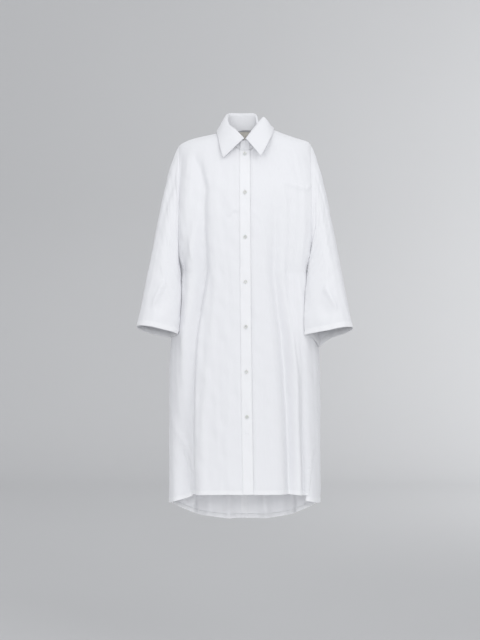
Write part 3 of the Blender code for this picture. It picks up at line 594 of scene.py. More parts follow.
# ---------------------------------------------------------------- body surface
def body(angle, run, side, fine=True):
    """Points of the body at angles and runs, with the outward normals beside them.

    Each section is a superellipse of the half width and depth at its height. The folds
    push it out along its horizontal normal, and so do the creases and the ripples.
    """
    angle, run = np.broadcast_arrays(np.asarray(angle, float), np.asarray(run, float))
    turn = np.radians(angle)
    power = 2 / SECTION_POWER
    across = np.abs(np.sin(turn)) ** power
    along = np.abs(np.cos(turn)) ** power
    x = 0.2 * across * side
    for _ in range(12 if fine else 6):
        z = ridge_height(x) - drop(run)
        x = half_width(z) * across * side * np.sign(np.sin(turn) + 1e-12)
    before = np.cos(turn) > 0
    depth = np.where(before, column(DEPTHS, z, 1), column(DEPTHS, z, 2))
    rounding = np.sin(np.clip(run / SHOULDER_ROUND, 0, math.pi / 2))
    y = np.where(before, -1, 1) * depth * along * rounding
    steep = SECTION_POWER - 1
    facing_x = np.sign(x) * across ** steep / HALF_WIDTH
    facing_y = np.where(before, -1, 1) * along ** steep / depth
    size = np.hypot(facing_x, facing_y)
    normal = np.stack([facing_x / size, facing_y / size, np.zeros_like(x)], axis=-1)
    fade = np.clip((drop(run) - 0.02) / 0.06, 0, 1)
    if not fine:
        return np.stack([x, y, z], axis=-1), normal
    sizes = bpy.context.scene.dress_sizes
    push = fold_height(angle, z, side) * fade
    crease = np.where(before, crease_height(x, z, FRONT_CREASES),
                      crease_height(x, z, BACK_CREASES))
    edge = smooth((95 - np.abs(angle)) / 12) + smooth((np.abs(angle) - 85) / 12) - 1
    crease = crease * (1 - 0.8 * edge)
    arc = np.interp(np.abs(angle), np.linspace(0, 180, 181), arc_table())
    arc = arc * side * np.where(angle < 0, -1, 1)
    push = push + sizes.crease * crease + sizes.ripple * fade * ripple_height(arc, z)
    points = np.stack([x, y - bridge(angle, x, z), z], axis=-1)
    return points + normal * push[..., None], normal


def bridge(angle, x, z):
    """Forward shift of the cloth that spans flat from the chest to the sleeve.

    It is the reach at that height times smooth steps outwards in x and forward of the
    side, so that the section is squarer there.
    """
    corner = smooth((88 - np.abs(angle)) / column(BRIDGE, z, 2))
    return column(BRIDGE, z, 1) * smooth((np.abs(x) - 0.115) / 0.070) * corner


def angle_at(x, z):
    """Angle on the front at which the section at height z reaches x."""
    reach = np.clip(np.abs(x) / half_width(z), 0, 1)
    return np.degrees(np.arcsin(reach ** (SECTION_POWER / 2)))


def centre_line(z):
    """x of the placket's middle at height z."""
    return PLACKET_DRIFT * np.clip(-(z + 0.07), 0, 2) ** 1.8


def neckline(phi):
    """Neck seam at phi degrees from the nape: x and the signed run, front negative."""
    lean = np.cos(np.radians(phi))
    front = -NECK_FRONT_RUN * np.abs(lean) ** NECK_FRONT_SHAPE
    run = np.where(lean < 0, front, NECK_BACK_RUN * np.abs(lean))
    return NECK_HALF_WIDTH * np.sin(np.radians(phi)), run


def over_shoulder(x, run):
    """Point and normal of the body at x and a signed run, which may cross the ridge."""
    z = ridge_height(x) - drop(np.abs(run))
    angle = angle_at(x, z)
    angle = np.where(run > 0, 180 - angle, angle)
    right = body(angle, np.abs(run), -1)
    left = body(angle, np.abs(run), 1)
    pick = (np.asarray(x) < 0)[..., None]
    return np.where(pick, right[0], left[0]), np.where(pick, right[1], left[1])


def edge_angle(z, side, behind):
    """Angle of a panel's outer edge: the armhole above, the side seam below."""
    armhole = angle_at(ARMHOLE_X, z)
    armhole = 180 - armhole if behind else armhole
    seam = column(SIDE_SEAMS, z, 1 if side < 0 else 2)
    slit = SLIT_LAP * np.clip((SLIT_TOP_Z - z) / (SLIT_TOP_Z - HEM_FRONT_Z), 0, 1)
    seam = seam - slit if behind else seam + slit * 0.2
    return np.where(z > UNDERARM_Z + 1e-4, armhole, seam)


def spread(z, side, start, s, behind):
    """Angle at a share s of the way across a panel, from start to its outer edge."""
    edge = edge_angle(z, side, behind)
    seam = edge_angle(np.minimum(z, UNDERARM_Z), side, behind)
    return start + (seam - start) * s + (edge - seam) * s * s


def share_at(z, side, start, angle, behind):
    """Share across a panel at which spread gives the angle: the root of its quadratic."""
    edge = edge_angle(z, side, behind)
    seam = edge_angle(np.minimum(z, UNDERARM_Z), side, behind)
    slope, bend = seam - start, edge - seam
    root = np.sqrt(np.maximum(slope ** 2 + 4 * bend * (angle - start), 0))
    return 2 * (angle - start) / (slope + np.sign(slope) * root)


def hem_height(angle, side, behind):
    """Height of the hem at an angle round the body.

    Each hem falls by the cube of the sine. The back's also rises from the side to the
    slit, in a straight line across.
    """
    sine = np.abs(np.sin(np.radians(angle)))
    if behind:
        fall = (HEM_BACK_Z - HEM_BACK_SIDE_Z) * (1 - sine ** 3)
        rise = SLIT_RISES[0 if side < 0 else 1] * (1 - sine)
        return HEM_BACK_SIDE_Z + np.where(angle > 90, fall, rise)
    return HEM_FRONT_SIDE_Z + (HEM_FRONT_Z - HEM_FRONT_SIDE_Z) * (1 - sine ** 3)


def panel(side, inner, top, behind):
    """Angles and runs of a long panel on a grid, from its upper edge to the hem.

    Rows are shares of the runs between the upper edge, the underarm, the top of the
    slit and the hem. Columns are shares of the angle from the inner edge to the outer.
    """
    count = bpy.context.scene.dress_sizes.rows
    s = stops(0, 46, 0.5, 40, 0.96, 9, 1)[None, :]
    top_angle, top_run = top(s)
    levels = [np.broadcast_to(top_run, s.shape)]
    for height in (UNDERARM_Z, SLIT_TOP_Z, None):
        if height is None:
            outer = edge_angle(np.full_like(s, HEM_FRONT_SIDE_Z), side, behind)
            middle = inner(np.full_like(s, HEM_FRONT_Z))
            height = hem_height(middle + (outer - middle) * s, side, behind)
        z = np.ones_like(s) * height
        sine = np.sin(np.radians(spread(z, side, inner(z), s, behind)))
        x = half_width(z) * np.sign(sine) * np.abs(sine) ** (2 / SECTION_POWER) * side
        levels.append(run_of(ridge_height(x) - z))
    upper = (1 - np.cos(np.linspace(0, math.pi, int(count * 0.85)))) / 2
    shares = (0.4 * np.linspace(0, 1, len(upper)) + 0.6 * upper,
              np.linspace(0, 1, count), stops(0, 26, 0.86, 15, 1))
    rows = [levels[0]]
    for share, start, end in zip(shares, levels[:-1], levels[1:]):
        rows += [start + (end - start) * part for part in share[1:]]
    run = np.concatenate(rows, axis=0)
    fall = (run - run[:1]) / SHOULDER_ROUND
    angle = np.broadcast_to(top_angle, run.shape).copy()
    z = body(top_angle, top_run, side, fine=False)[0][..., 2]
    first = share_at(z, side, inner(z), top_angle, behind)
    part = s + (first - s) * np.exp(-fall * fall / 4)
    for _ in range(10):
        z = body(angle, run, side, fine=False)[0][..., 2]
        angle = spread(z, side, inner(z), part, behind)
    return angle, run


def neck_corner():
    """Degrees from the nape at which the yoke's front seam meets the neckline."""
    lean = (YOKE_FRONT_RUN / NECK_FRONT_RUN) ** (1 / NECK_FRONT_SHAPE)
    return 180 - math.degrees(math.acos(lean))


def front_top(side, start_x):
    """Upper edge of a front: along the neck from start_x, then below the yoke."""
    first = 180 - math.degrees(math.asin(start_x * side / NECK_HALF_WIDTH))

    def top(s):
        phi = first + (neck_corner() - first) * np.clip(s / 0.5, 0, 1)
        neck_x, neck_run = neckline(phi)
        past = np.clip((s - 0.5) / 0.5, 0, 1)
        x = neck_x + (ARMHOLE_X - neck_x) * past
        lap = LAP_TOP * np.clip(2 - neck_x / (PLACKET_WIDTH / 2), 0, 1) * (side > 0)
        run = np.where(s < 0.5, lap - neck_run, YOKE_FRONT_RUN)
        z = ridge_height(x * side) - drop(run)
        return angle_at(x, z) * np.sign(x), run

    return top


def back_top(side):
    """Upper edge of a back: straight across below the yoke."""
    def top(s):
        x = CENTRE_GAP + (ARMHOLE_X - CENTRE_GAP) * s
        return 180 - angle_at(x, YOKE_BACK_Z), run_of(ridge_height(x * side) - YOKE_BACK_Z)

    return top


def front_points(side):
    """Grid of a front panel. The left one dips below the placket near the centre."""
    start = -PLACKET_WIDTH / 2 if side < 0 else -LAP_WIDTH

    def inner(z):
        x = centre_line(z) + start
        return angle_at(x, z) * np.sign(x) * side

    angle, run = panel(side, inner, front_top(side, start), False)
    points, normal = body(angle, run, side)
    if side > 0:
        past = points[..., 0] - centre_line(points[..., 2]) - PLACKET_WIDTH / 2
        sink = smooth(1 - (past - LAP_HOLD) / LAP_EASE) * LAP_DROP
        points = points - normal * sink[..., None]
    return points


def back_points(side):
    """Grid of a back panel, from the centre-back seam round to the side seam.

    Below the top of the slit its edge lies a step behind the front's.
    """
    def inner(z):
        return 180 - angle_at(CENTRE_GAP, z)

    angle, run = panel(side, inner, back_top(side), True)
    points, normal = body(angle, run, side)
    z = points[..., 2]
    under = smooth(1 - (angle - edge_angle(z, side, True)) / 6)
    sink = SLIT_SINK * under * smooth((SLIT_TOP_Z + 0.006 - z) / 0.02)
    return points - normal * sink[..., None]


def yoke_points():
    """Grid of the yoke, from its front seams and the neckline to the back seam."""
    u = np.linspace(-1, 1, 181)
    share = 6 / 14
    x, run = neckline(neck_corner() * np.clip(u / share, -1, 1))
    past = np.clip((np.abs(u) - share) / (1 - share), 0, 1)
    x = x + (ARMHOLE_X * np.sign(u) - x) * past
    run = np.where(past > 0, -YOKE_FRONT_RUN, run)
    foot_x = u * ARMHOLE_X
    foot_run = run_of(ridge_height(foot_x) - YOKE_BACK_Z)
    t = np.linspace(0, 1, 49)[:, None]
    return over_shoulder(x + (foot_x - x) * np.sqrt(t), run + (foot_run - run) * t)[0]


def placket_points():
    """Grid of the placket, a straight band down the centre front."""
    half = PLACKET_WIDTH / 2
    s = np.linspace(-1, 1, 17)[None, :]
    top_x, top_run = neckline(180 - np.degrees(np.arcsin(s * half / NECK_HALF_WIDTH)))
    top_z = ridge_height(top_x) - drop(-top_run)
    z = top_z + (HEM_FRONT_Z - top_z) * np.linspace(0, 1, 340)[:, None]
    x = centre_line(z) + s * half
    run = run_of(ridge_height(x) - z)
    angle = angle_at(x, z)
    return np.where((x < 0)[..., None], body(angle, run, -1)[0], body(angle, run, 1)[0])


# ---------------------------------------------------------------- sleeves and collar
def armhole(around, side):
    """Armhole seam: 0 at the shoulder, 0.25 in front, 0.5 underarm, 0.75 behind."""
    top = ridge_height(ARMHOLE_X * side)
    z = UNDERARM_Z + (top - UNDERARM_Z) * (1 + np.cos(2 * math.pi * around)) / 2
    z = np.clip(z, UNDERARM_Z + 1e-5, top - 1e-6)
    angle = angle_at(ARMHOLE_X, z)
    angle = np.where(around > 0.5, 180 - angle, angle)
    return body(angle, run_of(top - z), side)


def beside_body(points):
    """Points below the underarm, or before it within the armhole, moved out of the body."""
    x, y, z = points[..., 0], points[..., 1], points[..., 2]
    fall = np.clip((UNDERARM_Z - z) / 0.04, 0, 1)
    gap = UNDERARM_GAP + (SLEEVE_GAP - UNDERARM_GAP) * fall
    ahead = np.where(y < 0, bridge(angle_at(x, z), x, z), 0)
    depth = np.where(y < 0, column(DEPTHS, z, 1), column(DEPTHS, z, 2)) + gap
    wide = np.where(z < UNDERARM_Z, half_width(z), ARMHOLE_X)
    across = np.abs(x / (wide + gap)) ** SECTION_POWER
    along = np.abs(np.minimum(y + ahead, 0) / depth) ** SECTION_POWER
    along = np.where(y < 0, along, np.abs(y / depth) ** SECTION_POWER)
    size = (across + along) ** (1 / SECTION_POWER)
    held = (z < UNDERARM_Z) | (y < 0)
    scale = np.where(held & (size < 1), 1 / size, 1.0)
    return np.stack([x * scale, (y + ahead) * scale - ahead, z], axis=-1)


def before_body(points, side, apart, t):
    """Points that lap over the front, moved forward to lie a distance before its folds."""
    x, y, z = points[..., 0], points[..., 1], points[..., 2]
    reach = half_width(z) - 0.004
    inside = np.clip(x * side, 0, reach)
    front = body(angle_at(inside, z), run_of(ridge_height(x) - z), side)[0][..., 1]
    ahead = np.minimum(y, front - apart) - y
    lapped = (x * side < reach) & (y < 0)
    y = y + np.where(lapped, ahead * smooth(t[..., 0] / 0.05), 0)
    return np.stack([x, y, z], axis=-1)


def sleeve_points(name):
    """Rings of a sleeve: cubic curves from the armhole round and down to its hem.

    The grid opens along the underarm seam. Creases and ripples push it out along the
    normal, and fade out at the armhole and at the hem.
    """
    side, x, y, z, half_out, rise_out, half_deep, rise_front, droop = SLEEVE_HEMS[name]
    sizes = bpy.context.scene.dress_sizes
    around = (np.linspace(0.5, 1.5, 177) % 1.0)[None, :]
    t = stops(0, 126, 0.95, 16, 1)[:, None, None]
    up = np.cos(2 * math.pi * around)[..., None]
    ahead = np.sin(2 * math.pi * around)[..., None]
    gap = 0.0003 + (UNDERARM_GAP - 0.0003) * np.clip(-up, 0, 1) ** 4
    start = armhole(around, side)[0] + gap * np.array([side, 0, 0])
    out = np.array([side * half_out, 0, rise_out])
    fore = np.array([0, -half_deep, rise_front])
    sag = droop * np.exp(-(((around - DROOP_PLACE[0]) / DROOP_PLACE[1]) ** 2))
    end = np.array([x, y, z]) + up * out + ahead * fore - sag[..., None] * [0, 0, 1]
    leave = np.stack([column(SLEEVE_LEAVES, around, k) for k in (1, 2, 3)], axis=-1)
    reach = column(SLEEVE_LEAVES, around, 4)[..., None]
    first = start + leave * np.array([side, 1, 1]) * reach
    arrive = np.array(SLEEVE_AXIS) * np.array([side, 1, 1])
    second = end - arrive * (SLEEVE_ARRIVAL[0] + SLEEVE_ARRIVAL[1] * up)
    rings = ((1 - t) ** 3 * start + 3 * t * (1 - t) ** 2 * first
             + 3 * t * t * (1 - t) * second + t ** 3 * end)
    (start_at, start_reach), (end_at, end_reach) = LAP_SPAN
    lap = smooth((around - start_at) / start_reach) * smooth((end_at - around) / end_reach)
    grown = sum(part * smooth((t[..., 0] - first_at) / reach_by)
                for part, first_at, reach_by in LAP_GROWTH)
    rings[..., 0] = rings[..., 0] - side * SLEEVE_LAPS[name] * lap * grown
    rings = beside_body(rings)
    rings = before_body(rings, side, 0.0012 + 0.0020 * smooth((0.455 - around) / 0.02), t)
    girth, length = SLEEVE_GIRTH, SLEEVE_LENGTH
    place = np.broadcast_to(around, rings.shape[:2])
    down = np.broadcast_to(t[..., 0], rings.shape[:2])
    creases = [(width, depth, [(a * girth, d * length) for a, d in path])
               for width, depth, path in SLEEVE_CREASES[name]]
    fade = smooth(down / 0.06) * smooth((1.06 - down) / 0.10)
    fade = fade * smooth(np.abs(place - 0.5) / 0.06)
    push = sizes.crease * crease_height(place * girth, down * length, creases)
    push = push + sizes.ripple * ripple_height(place * girth + 0.3 * side, down * length)
    normal = facing(rings, rings.mean(axis=1, keepdims=True))
    return rings + normal * (push * fade)[..., None]


def collar_line(at, first, count=3):
    """Smooth line through columns of the collar's table, at 0 to 1 round it."""
    rows = np.array([row[1:] for row in COLLAR])
    steps = np.linalg.norm(np.diff(rows[:, :3], axis=0), axis=1)
    place = np.concatenate([[0], np.cumsum(steps)]) / steps.sum()
    return np.stack([curve(at, place, rows[:, first + k]) for k in range(count)], axis=-1)


def outward(points):
    """Horizontal directions away from the middle of the neck."""
    away = (points - np.array([0.0, -0.012, 0.0])) * np.array([1, 1, 0])
    return away / np.linalg.norm(away, axis=-1, keepdims=True)


def leaf_points():
    """Grid of the collar's leaf: up from its seam, over the crest and down.

    A quadratic curve rises to the crest, and another one swings out over it and falls
    to the edge. Slight waves run along the leaf.
    """
    at = stops(0, 9, 0.03, 171, 0.97, 9, 1)
    crest = collar_line(at, 0)
    edge = collar_line(at, 3)
    away = outward(crest)
    root = crest - away * COLLAR_ROLL - np.array([0, 0, COLLAR_TURN])
    over = crest + away * collar_line(at, 6, 1)
    brow = root + np.array([0, 0, COLLAR_TURN + 0.0012])
    rows = [(1 - v) ** 2 * root + 2 * v * (1 - v) * brow + v * v * crest
            for v in np.linspace(0, 1, 7)[:-1]]
    for v in stops(0, 19, 0.86, 9, 1):
        wave = 0.0007 * math.sin(math.pi * v) * np.sin(23 * at + 4 * v)[:, None]
        rows.append((1 - v) ** 2 * crest + 2 * v * (1 - v) * over + v * v * edge
                    + away * wave)
    return np.stack(rows)


def stand_points():
    """Grid of the collar's stand, from inside the neck seam up behind the leaf's seam.

    The columns run on in a straight line past both ends, the right end in front.
    """
    at = np.linspace(0, 1, 181)
    crest = collar_line(at, 0)
    away = outward(crest)
    top = crest - away * (COLLAR_ROLL + 0.0011) - np.array([0, 0, COLLAR_TURN - 0.0010])
    x, run = neckline(-179 + 358 * at)
    foot = over_shoulder(x, run)[0]
    foot = foot - outward(foot) * STAND_INSET - np.array([0, 0, 0.002])
    t = np.linspace(0, 1, 15)[:, None, None]
    points = foot + (top - foot) * t
    steps = np.linspace(1, 0.14, 7)[None, :, None]
    ahead = np.array([[[1.0, 0.0, 0.0]]])
    right = points[:, :1] + ahead * STAND_LAP * steps - [0, 0.0004, 0]
    left = points[:, -1:] - ahead * STAND_LAP * steps[:, ::-1] + [0, 0.0012, 0]
    return np.concatenate([right, points, left], axis=1)


# ---------------------------------------------------------------- grids and meshes
def facing(points, centre):
    """Unit normals of a grid, the cross product of its two directions.

    They point away from the centre on the whole.
    """
    cross = np.cross(np.gradient(points, axis=0), np.gradient(points, axis=1))
    size = np.linalg.norm(cross, axis=-1, keepdims=True)
    normal = cross / np.maximum(size, 1e-12)
    away = (points - centre) * normal
    return normal * (1.0 if np.sum(away) > 0 else -1.0)


def turned_round(grid, edge):
    """Grid with the named edge brought to its first row."""
    grid = grid.swapaxes(0, 1) if edge in SIDEWAYS else grid
    return grid[::-1] if edge in FAR_EDGES else grid


def turned_back(grid, edge):
    """Undo turned_round."""
    grid = grid[::-1] if edge in FAR_EDGES else grid
    return grid.swapaxes(0, 1) if edge in SIDEWAYS else grid


def inset(points, normals, edge, distance):
    """Line of points and normals at a distance in from an edge, along the columns."""
    grid = turned_round(points, edge)
    gone = distances(grid)
    cell = np.clip((gone <= distance).sum(axis=0) - 1, 0, len(gone) - 2)
    across = np.arange(grid.shape[1])
    step = gone[cell + 1, across] - gone[cell, across]
    part = np.clip((distance - gone[cell, across]) / step, 0, 1)[:, None]
    line = grid[cell, across] * (1 - part) + grid[cell + 1, across] * part
    return line, turned_round(normals, edge)[cell, across]


def onward(grid):
    """Unit directions past the first row of a grid."""
    ahead = grid[0] - grid[1]
    return ahead / np.maximum(np.linalg.norm(ahead, axis=-1, keepdims=True), 1e-9)


def extended(points, normals, edge, lines, faces):
    """Grids of points and normals with lines added outside an edge."""
    return tuple(turned_back(np.concatenate([np.stack(new), turned_round(old, edge)]), edge)
                 for new, old in ((lines, points), (faces, normals)))


def padded(marks, edge, grid):
    """Marks of a grid, carried on to the lines that it has gained at an edge."""
    marks, grid = turned_round(marks, edge), turned_round(grid, edge)
    more = np.repeat(marks[:1], len(grid) - len(marks), axis=0)
    return turned_back(np.concatenate([more, marks]), edge)


def hemmed(points, normals, edge, depth, behind, mask=None):
    """Grid with a turned hem at an edge: lines that run back inside the piece.

    Where the mask is 0 there is a short lip straight inwards instead.
    """
    lines, faces = [], []
    first = inset(points, normals, edge, 0.0)
    for step, (distance, apart) in enumerate(((0.0, 1.0), (0.0004, 1.0),
                                              (depth - 0.0007, 0.7), (depth, 0.25))):
        line, face = inset(points, normals, edge, distance)
        hem = line - face * behind * apart
        if mask is not None:
            hem = np.where(mask[:, None], hem, first[0] - first[1] * 0.00012 * (step + 1))
        lines.insert(0, hem)
        faces.insert(0, face)
    return extended(points, normals, edge, lines, faces)


def run_under(points, normals, edge, reach, behind, mask):
    """Grid whose edge runs on under its neighbour where the mask is 1.

    Elsewhere it turns back under itself, as a hem of the same reach.
    """
    grid = turned_round(points, edge)
    face = turned_round(normals, edge)[0]
    lines = []
    for step in (1.0, 0.5, 0.12):
        back = inset(points, normals, edge, reach * step)
        under = grid[0] + onward(grid) * reach * step - face * behind
        lines.append(np.where(mask[:, None], under, back[0] - back[1] * 0.0008))
    return extended(points, normals, edge, lines, [face] * 3)


def tucked(points, normals, edge, depth, behind):
    """Grid whose edge runs on under its neighbour, a step behind it."""
    grid = turned_round(points, edge)
    face = turned_round(normals, edge)[0]
    lines = [grid[0] + onward(grid) * reach - face * behind for reach in (depth, 0.0006)]
    return extended(points, normals, edge, lines, [face] * 2)


def relief(points, normals, edge, depth, height, pucker=0.35):
    """Points with a hem's relief: raised between the edge and its stitches.

    The puckers are a wavering sine along the edge, as a share of the height.
    """
    grid = turned_round(points, edge)
    gone = distances(grid)
    raise_by = smooth(gone / 0.002) * smooth((depth + 0.0012 - gone) / 0.0024)
    groove = np.exp(-(((gone - depth + 0.0018) / 0.0009) ** 2))
    along = distances(grid[0])[None, :]
    waves = np.sin(2 * np.pi * (along + 0.4 * gone) / 0.013 + 1.3 * np.sin(along * 70))
    waves = waves * np.exp(-(((gone - depth * 0.6) / depth * 1.4) ** 2))
    push = height * (raise_by - 0.9 * groove + pucker * waves)
    moved = grid + turned_round(normals, edge) * push[..., None]
    return turned_back(moved, edge)


def in_metres(points):
    """UV coordinates of a grid: distances across and down the cloth."""
    across = distances(points.swapaxes(0, 1)).T
    return np.stack([across, distances(points)], axis=-1)


def collection(name):
    """The collection of that name, made at its first use."""
    group = bpy.data.collections.get(name)
    if group is None:
        group = bpy.data.collections.new(name)
        bpy.context.scene.collection.children.link(group)
    return group


def mesh_piece(name, points, faces, finish, group="shirt dress"):
    """Object on a mesh of points (n, 3) and faces, smooth, with one finish."""
    mesh = bpy.data.meshes.new(name)
    mesh.from_pydata(points.reshape(-1, 3).tolist(), [], faces)
    mesh.shade_smooth()
    mesh.materials.append(finish)
    piece = bpy.data.objects.new(name, mesh)
    collection(group).objects.link(piece)
    return piece


def grid_faces(rows, columns, flip=False):
    """Quads of a grid of rows by columns."""
    index = np.arange(rows * columns).reshape(rows, columns)
    around = (index[:-1, :-1], index[1:, :-1], index[1:, 1:], index[:-1, 1:])
    return np.stack(around[::-1] if flip else around, axis=-1).reshape(-1, 4)


def cloth(node, points, normals, double, wall=None,
          finish="poplin"):
    """Piece of cloth on a grid, which replaces its node.

    The attribute `double` is 1 where layers lie on each other. The UV map holds
    distances in metres, so that the weave follows the cloth.
    """
    rows, columns = points.shape[:2]
    faces = grid_faces(rows, columns)
    first, second, third = points.reshape(-1, 3)[faces[:, :3].T]
    cross = np.cross(second - first, third - first)
    same = np.sum(cross * normals.reshape(-1, 3)[faces[:, 0]])
    faces = grid_faces(rows, columns, flip=same < 0)
    piece = mesh_piece(node + "_cloth", points, faces.tolist(), finish_of(finish))
    mesh = piece.data
    corner = np.empty(len(mesh.loops), dtype=np.int32)
    mesh.loops.foreach_get("vertex_index", corner)
    uv = in_metres(points).reshape(-1, 2)[corner]
    layer = mesh.uv_layers.new(name="cloth")
    layer.data.foreach_set("uv", uv.astype(np.float32).ravel())
    layers = mesh.attributes.new("double", "FLOAT", "POINT")
    layers.data.foreach_set("value", np.ascontiguousarray(double, np.float32).ravel())
    thickness = piece.modifiers.new("wall", "SOLIDIFY")
    thickness.thickness = wall or bpy.context.scene.dress_sizes.wall
    thickness.offset = 0.0
    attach(piece, "root")
    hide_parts(node)
    grids[node] = (points, normals)


def layered(points, *edges):
    """Share of doubled cloth at each point: 1 within a distance of the given edges."""
    total = np.zeros(points.shape[:2])
    for edge, depth in edges:
        gone = distances(turned_round(points, edge))
        near = smooth((depth + 0.0008 - gone) / 0.0016)
        total = np.maximum(total, turned_back(near, edge))
    return total


# ---------------------------------------------------------------- finishes
class Value:
    """A shader socket that takes part in sums. Each sum adds its Math nodes."""

    def __init__(self, shader, socket):
        self.shader = shader
        self.socket = socket

    def sum(self, operation, *others):
        sockets = dict(enumerate((self,) + others))
        return self.shader.node("ShaderNodeMath", {"operation": operation}, sockets)

    def __add__(self, other):
        return self.sum("ADD", other)

    def __sub__(self, other):
        return self.sum("SUBTRACT", other)

    def __mul__(self, other):
        return self.sum("MULTIPLY", other)

    def __rsub__(self, other):
        return self.sum("MULTIPLY", -1.0).sum("ADD", other)

    __radd__ = __add__
    __rmul__ = __mul__

    def waves(self, length):
        """Sine of the value, with a wave of that length."""
        return (self * (2 * math.pi / length)).sum("SINE")

    def clipped(self, low, high):
        return self.sum("MAXIMUM", low).sum("MINIMUM", high)


class Shader:
    """A material and its nodes, built from expressions."""

    def __init__(self, name, roughness):
        self.material = bpy.data.materials.new(name)
        self.material.use_nodes = True
        self.tree = self.material.node_tree
        self.surface = self.tree.nodes["Principled BSDF"]
        self.surface.inputs["Roughness"].default_value = roughness

    def node(self, kind, settings=None, sockets=None, output=0):
        """New node: its settings first, then the values or links of its sockets."""
        made = self.tree.nodes.new(kind)
        for key, value in (settings or {}).items():
            setattr(made, key, value)
        for key, value in (sockets or {}).items():
            if isinstance(value, Value):
                self.tree.links.new(value.socket, made.inputs[key])
            else:
                made.inputs[key].default_value = value
        return Value(self, made.outputs[output])

    def mix(self, factor, first, second):
        """Colour between two colours."""
        settings = {"data_type": "RGBA"}
        return self.node("ShaderNodeMix", settings, {0: factor, 6: first, 7: second}, 2)

    def noise(self, vector, scale, detail, stretch=(1, 1, 1)):
        """Noise from 0 to 1 on a vector, stretched along its axes."""
        placed = self.node("ShaderNodeMapping", None, {"Vector": vector, "Scale": stretch})
        sockets = {"Vector": placed, "Scale": scale, "Detail": detail}
        return self.node("ShaderNodeTexNoise", None, sockets)

    def bump(self, height, strength, distance, **below):
        """Normal bumped by a height, over another normal where one is given."""
        sockets = {"Strength": strength, "Distance": distance, "Height": height, **below}
        return self.node("ShaderNodeBump", None, sockets)

    def place(self):
        """Object coordinates."""
        return self.node("ShaderNodeTexCoord", None, None, "Object")

    def cloth_place(self):
        """The cloth's own coordinates in metres: across and down."""
        uv = self.node("ShaderNodeUVMap", {"uv_map": "cloth"})
        parts = self.tree.nodes.new("ShaderNodeSeparateXYZ")
        self.tree.links.new(uv.socket, parts.inputs[0])
        return uv, Value(self, parts.outputs[0]), Value(self, parts.outputs[1])

    def set(self, **sockets):
        """Set or link sockets of the surface by name, with _ for a space."""
        for key, value in sockets.items():
            socket = self.surface.inputs[key.replace("_", " ")]
            if isinstance(value, Value):
                self.tree.links.new(value.socket, socket)
            else:
                socket.default_value = value


def darkened(colour, share):
    """Colour times a share, with no transparency."""
    return tuple(share * part for part in colour[:3]) + (1.0,)


def poplin(shader, colours):
    """Crisp cotton poplin: a fine plain weave, soft creasing and doubled seams."""
    uv, across, down = shader.cloth_place()
    weave = across.waves(0.00062) * down.waves(0.00070)
    slub = shader.noise(uv, 900.0, 2.0, (1.0, 0.05, 1.0))
    rib = shader.noise(uv, 700.0, 2.0, (0.06, 1.0, 1.0))
    spot = shader.place()
    crumple = shader.noise(spot, 46.0, 4.0, (1.0, 1.0, 0.55))
    soft = shader.noise(spot, 13.0, 3.0, (1.0, 1.0, 0.35))
    double = shader.node("ShaderNodeAttribute", {"attribute_name": "double"}, None, "Fac")
    tint = shader.mix(double, tuple(colours.poplin), tuple(colours.doubled))
    # Random yarn tone from the slub and rib noise, plus painted shade: the colour is a little
    # darker where the crumple bump dips.
    shade = (slub * 0.5 + rib * 0.5 - 0.5) * 0.10 + (crumple - 0.5) * 0.03 + 0.5
    yarn_tone_and_crease_shade = shader.mix(shade.clipped(0.0, 1.0), (0.90, 0.90, 0.91, 1.0), (1.0, 1.0, 1.0, 1.0))
    colour = shader.node("ShaderNodeMix", {"data_type": "RGBA", "blend_type": "MULTIPLY"},
                         {0: 1.0, 6: tint, 7: yarn_tone_and_crease_shade}, 2)
    wavy = shader.bump(soft, 0.42, 0.0022)
    creased = shader.bump(crumple, 0.30, 0.0009, Normal=wavy)
    threads = weave * 0.5 + slub * 0.8 + rib * 0.8
    woven = shader.bump(threads, 0.30, 0.00010, Normal=creased)
    shader.set(Base_Color=colour, Normal=woven, Sheen_Weight=0.12, Sheen_Roughness=0.45,
               Specular_IOR_Level=0.35, Roughness=0.74 - 0.10 * slub)


def thread(shader, colours):
    """Cotton sewing thread with a twist that runs round it."""
    twist = shader.node("ShaderNodeTexWave", {"bands_direction": "DIAGONAL"},
                        {"Vector": shader.place(), "Scale": 700.0, "Distortion": 1.0})
    base = tuple(colours.thread)
    # The colour darkens where the twist's bump dips: painted shade in the grooves of the
    # twist.
    shader.set(Base_Color=shader.mix(twist, darkened(base, 0.86), base),
               Normal=shader.bump(twist, 0.4, 0.00008), Sheen_Weight=0.2)


def label_tape(shader, colours):
    """Bare label tape: dense satin weave with a slight shine."""
    uv, across, down = shader.cloth_place()
    weave = across.waves(0.0005) * 0.4 + down.waves(0.0004)
    # The label colour is lightened past its own cream: painted light against the shade inside
    # the neck.
    base = tuple(colours.label)
    tint = shader.mix(shader.noise(uv, 300.0, 3.0), darkened(base, 0.88), base)
    shader.set(Base_Color=tint, Normal=shader.bump(weave, 0.4, 0.00012), Sheen_Weight=0.2)


def pearl(shader, colours):
    """Pearly button: cloudy tone and a soft gloss."""
    cloud = shader.noise(shader.place(), 260.0, 4.0)
    base = tuple(colours.button)
    shader.set(Base_Color=shader.mix(cloud, darkened(base, 0.84), base),
               Normal=shader.bump(cloud, 0.15, 0.0001), Roughness=0.22 + cloud * 0.16,
               Coat_Weight=0.35, Coat_Roughness=0.15, Subsurface_Weight=0.08)


def backdrop_paper(shader, colours):
    """Matt studio paper."""
    tone = shader.noise(shader.place(), 1.3, 2.0)
    base = tuple(colours.backdrop)
    shader.set(Base_Color=shader.mix(tone, darkened(base, 0.98), base),
               Specular_IOR_Level=0.1)


# Finishes: name of the material, roughness, and the function that builds its nodes.
FINISHES = {
    "poplin": ("cotton poplin", 0.72, poplin),
    "thread": ("sewing thread", 0.6, thread),
    "label": ("label tape", 0.55, label_tape),
    "button": ("pearly button", 0.28, pearl),
    "backdrop": ("studio paper", 0.95, backdrop_paper),
}


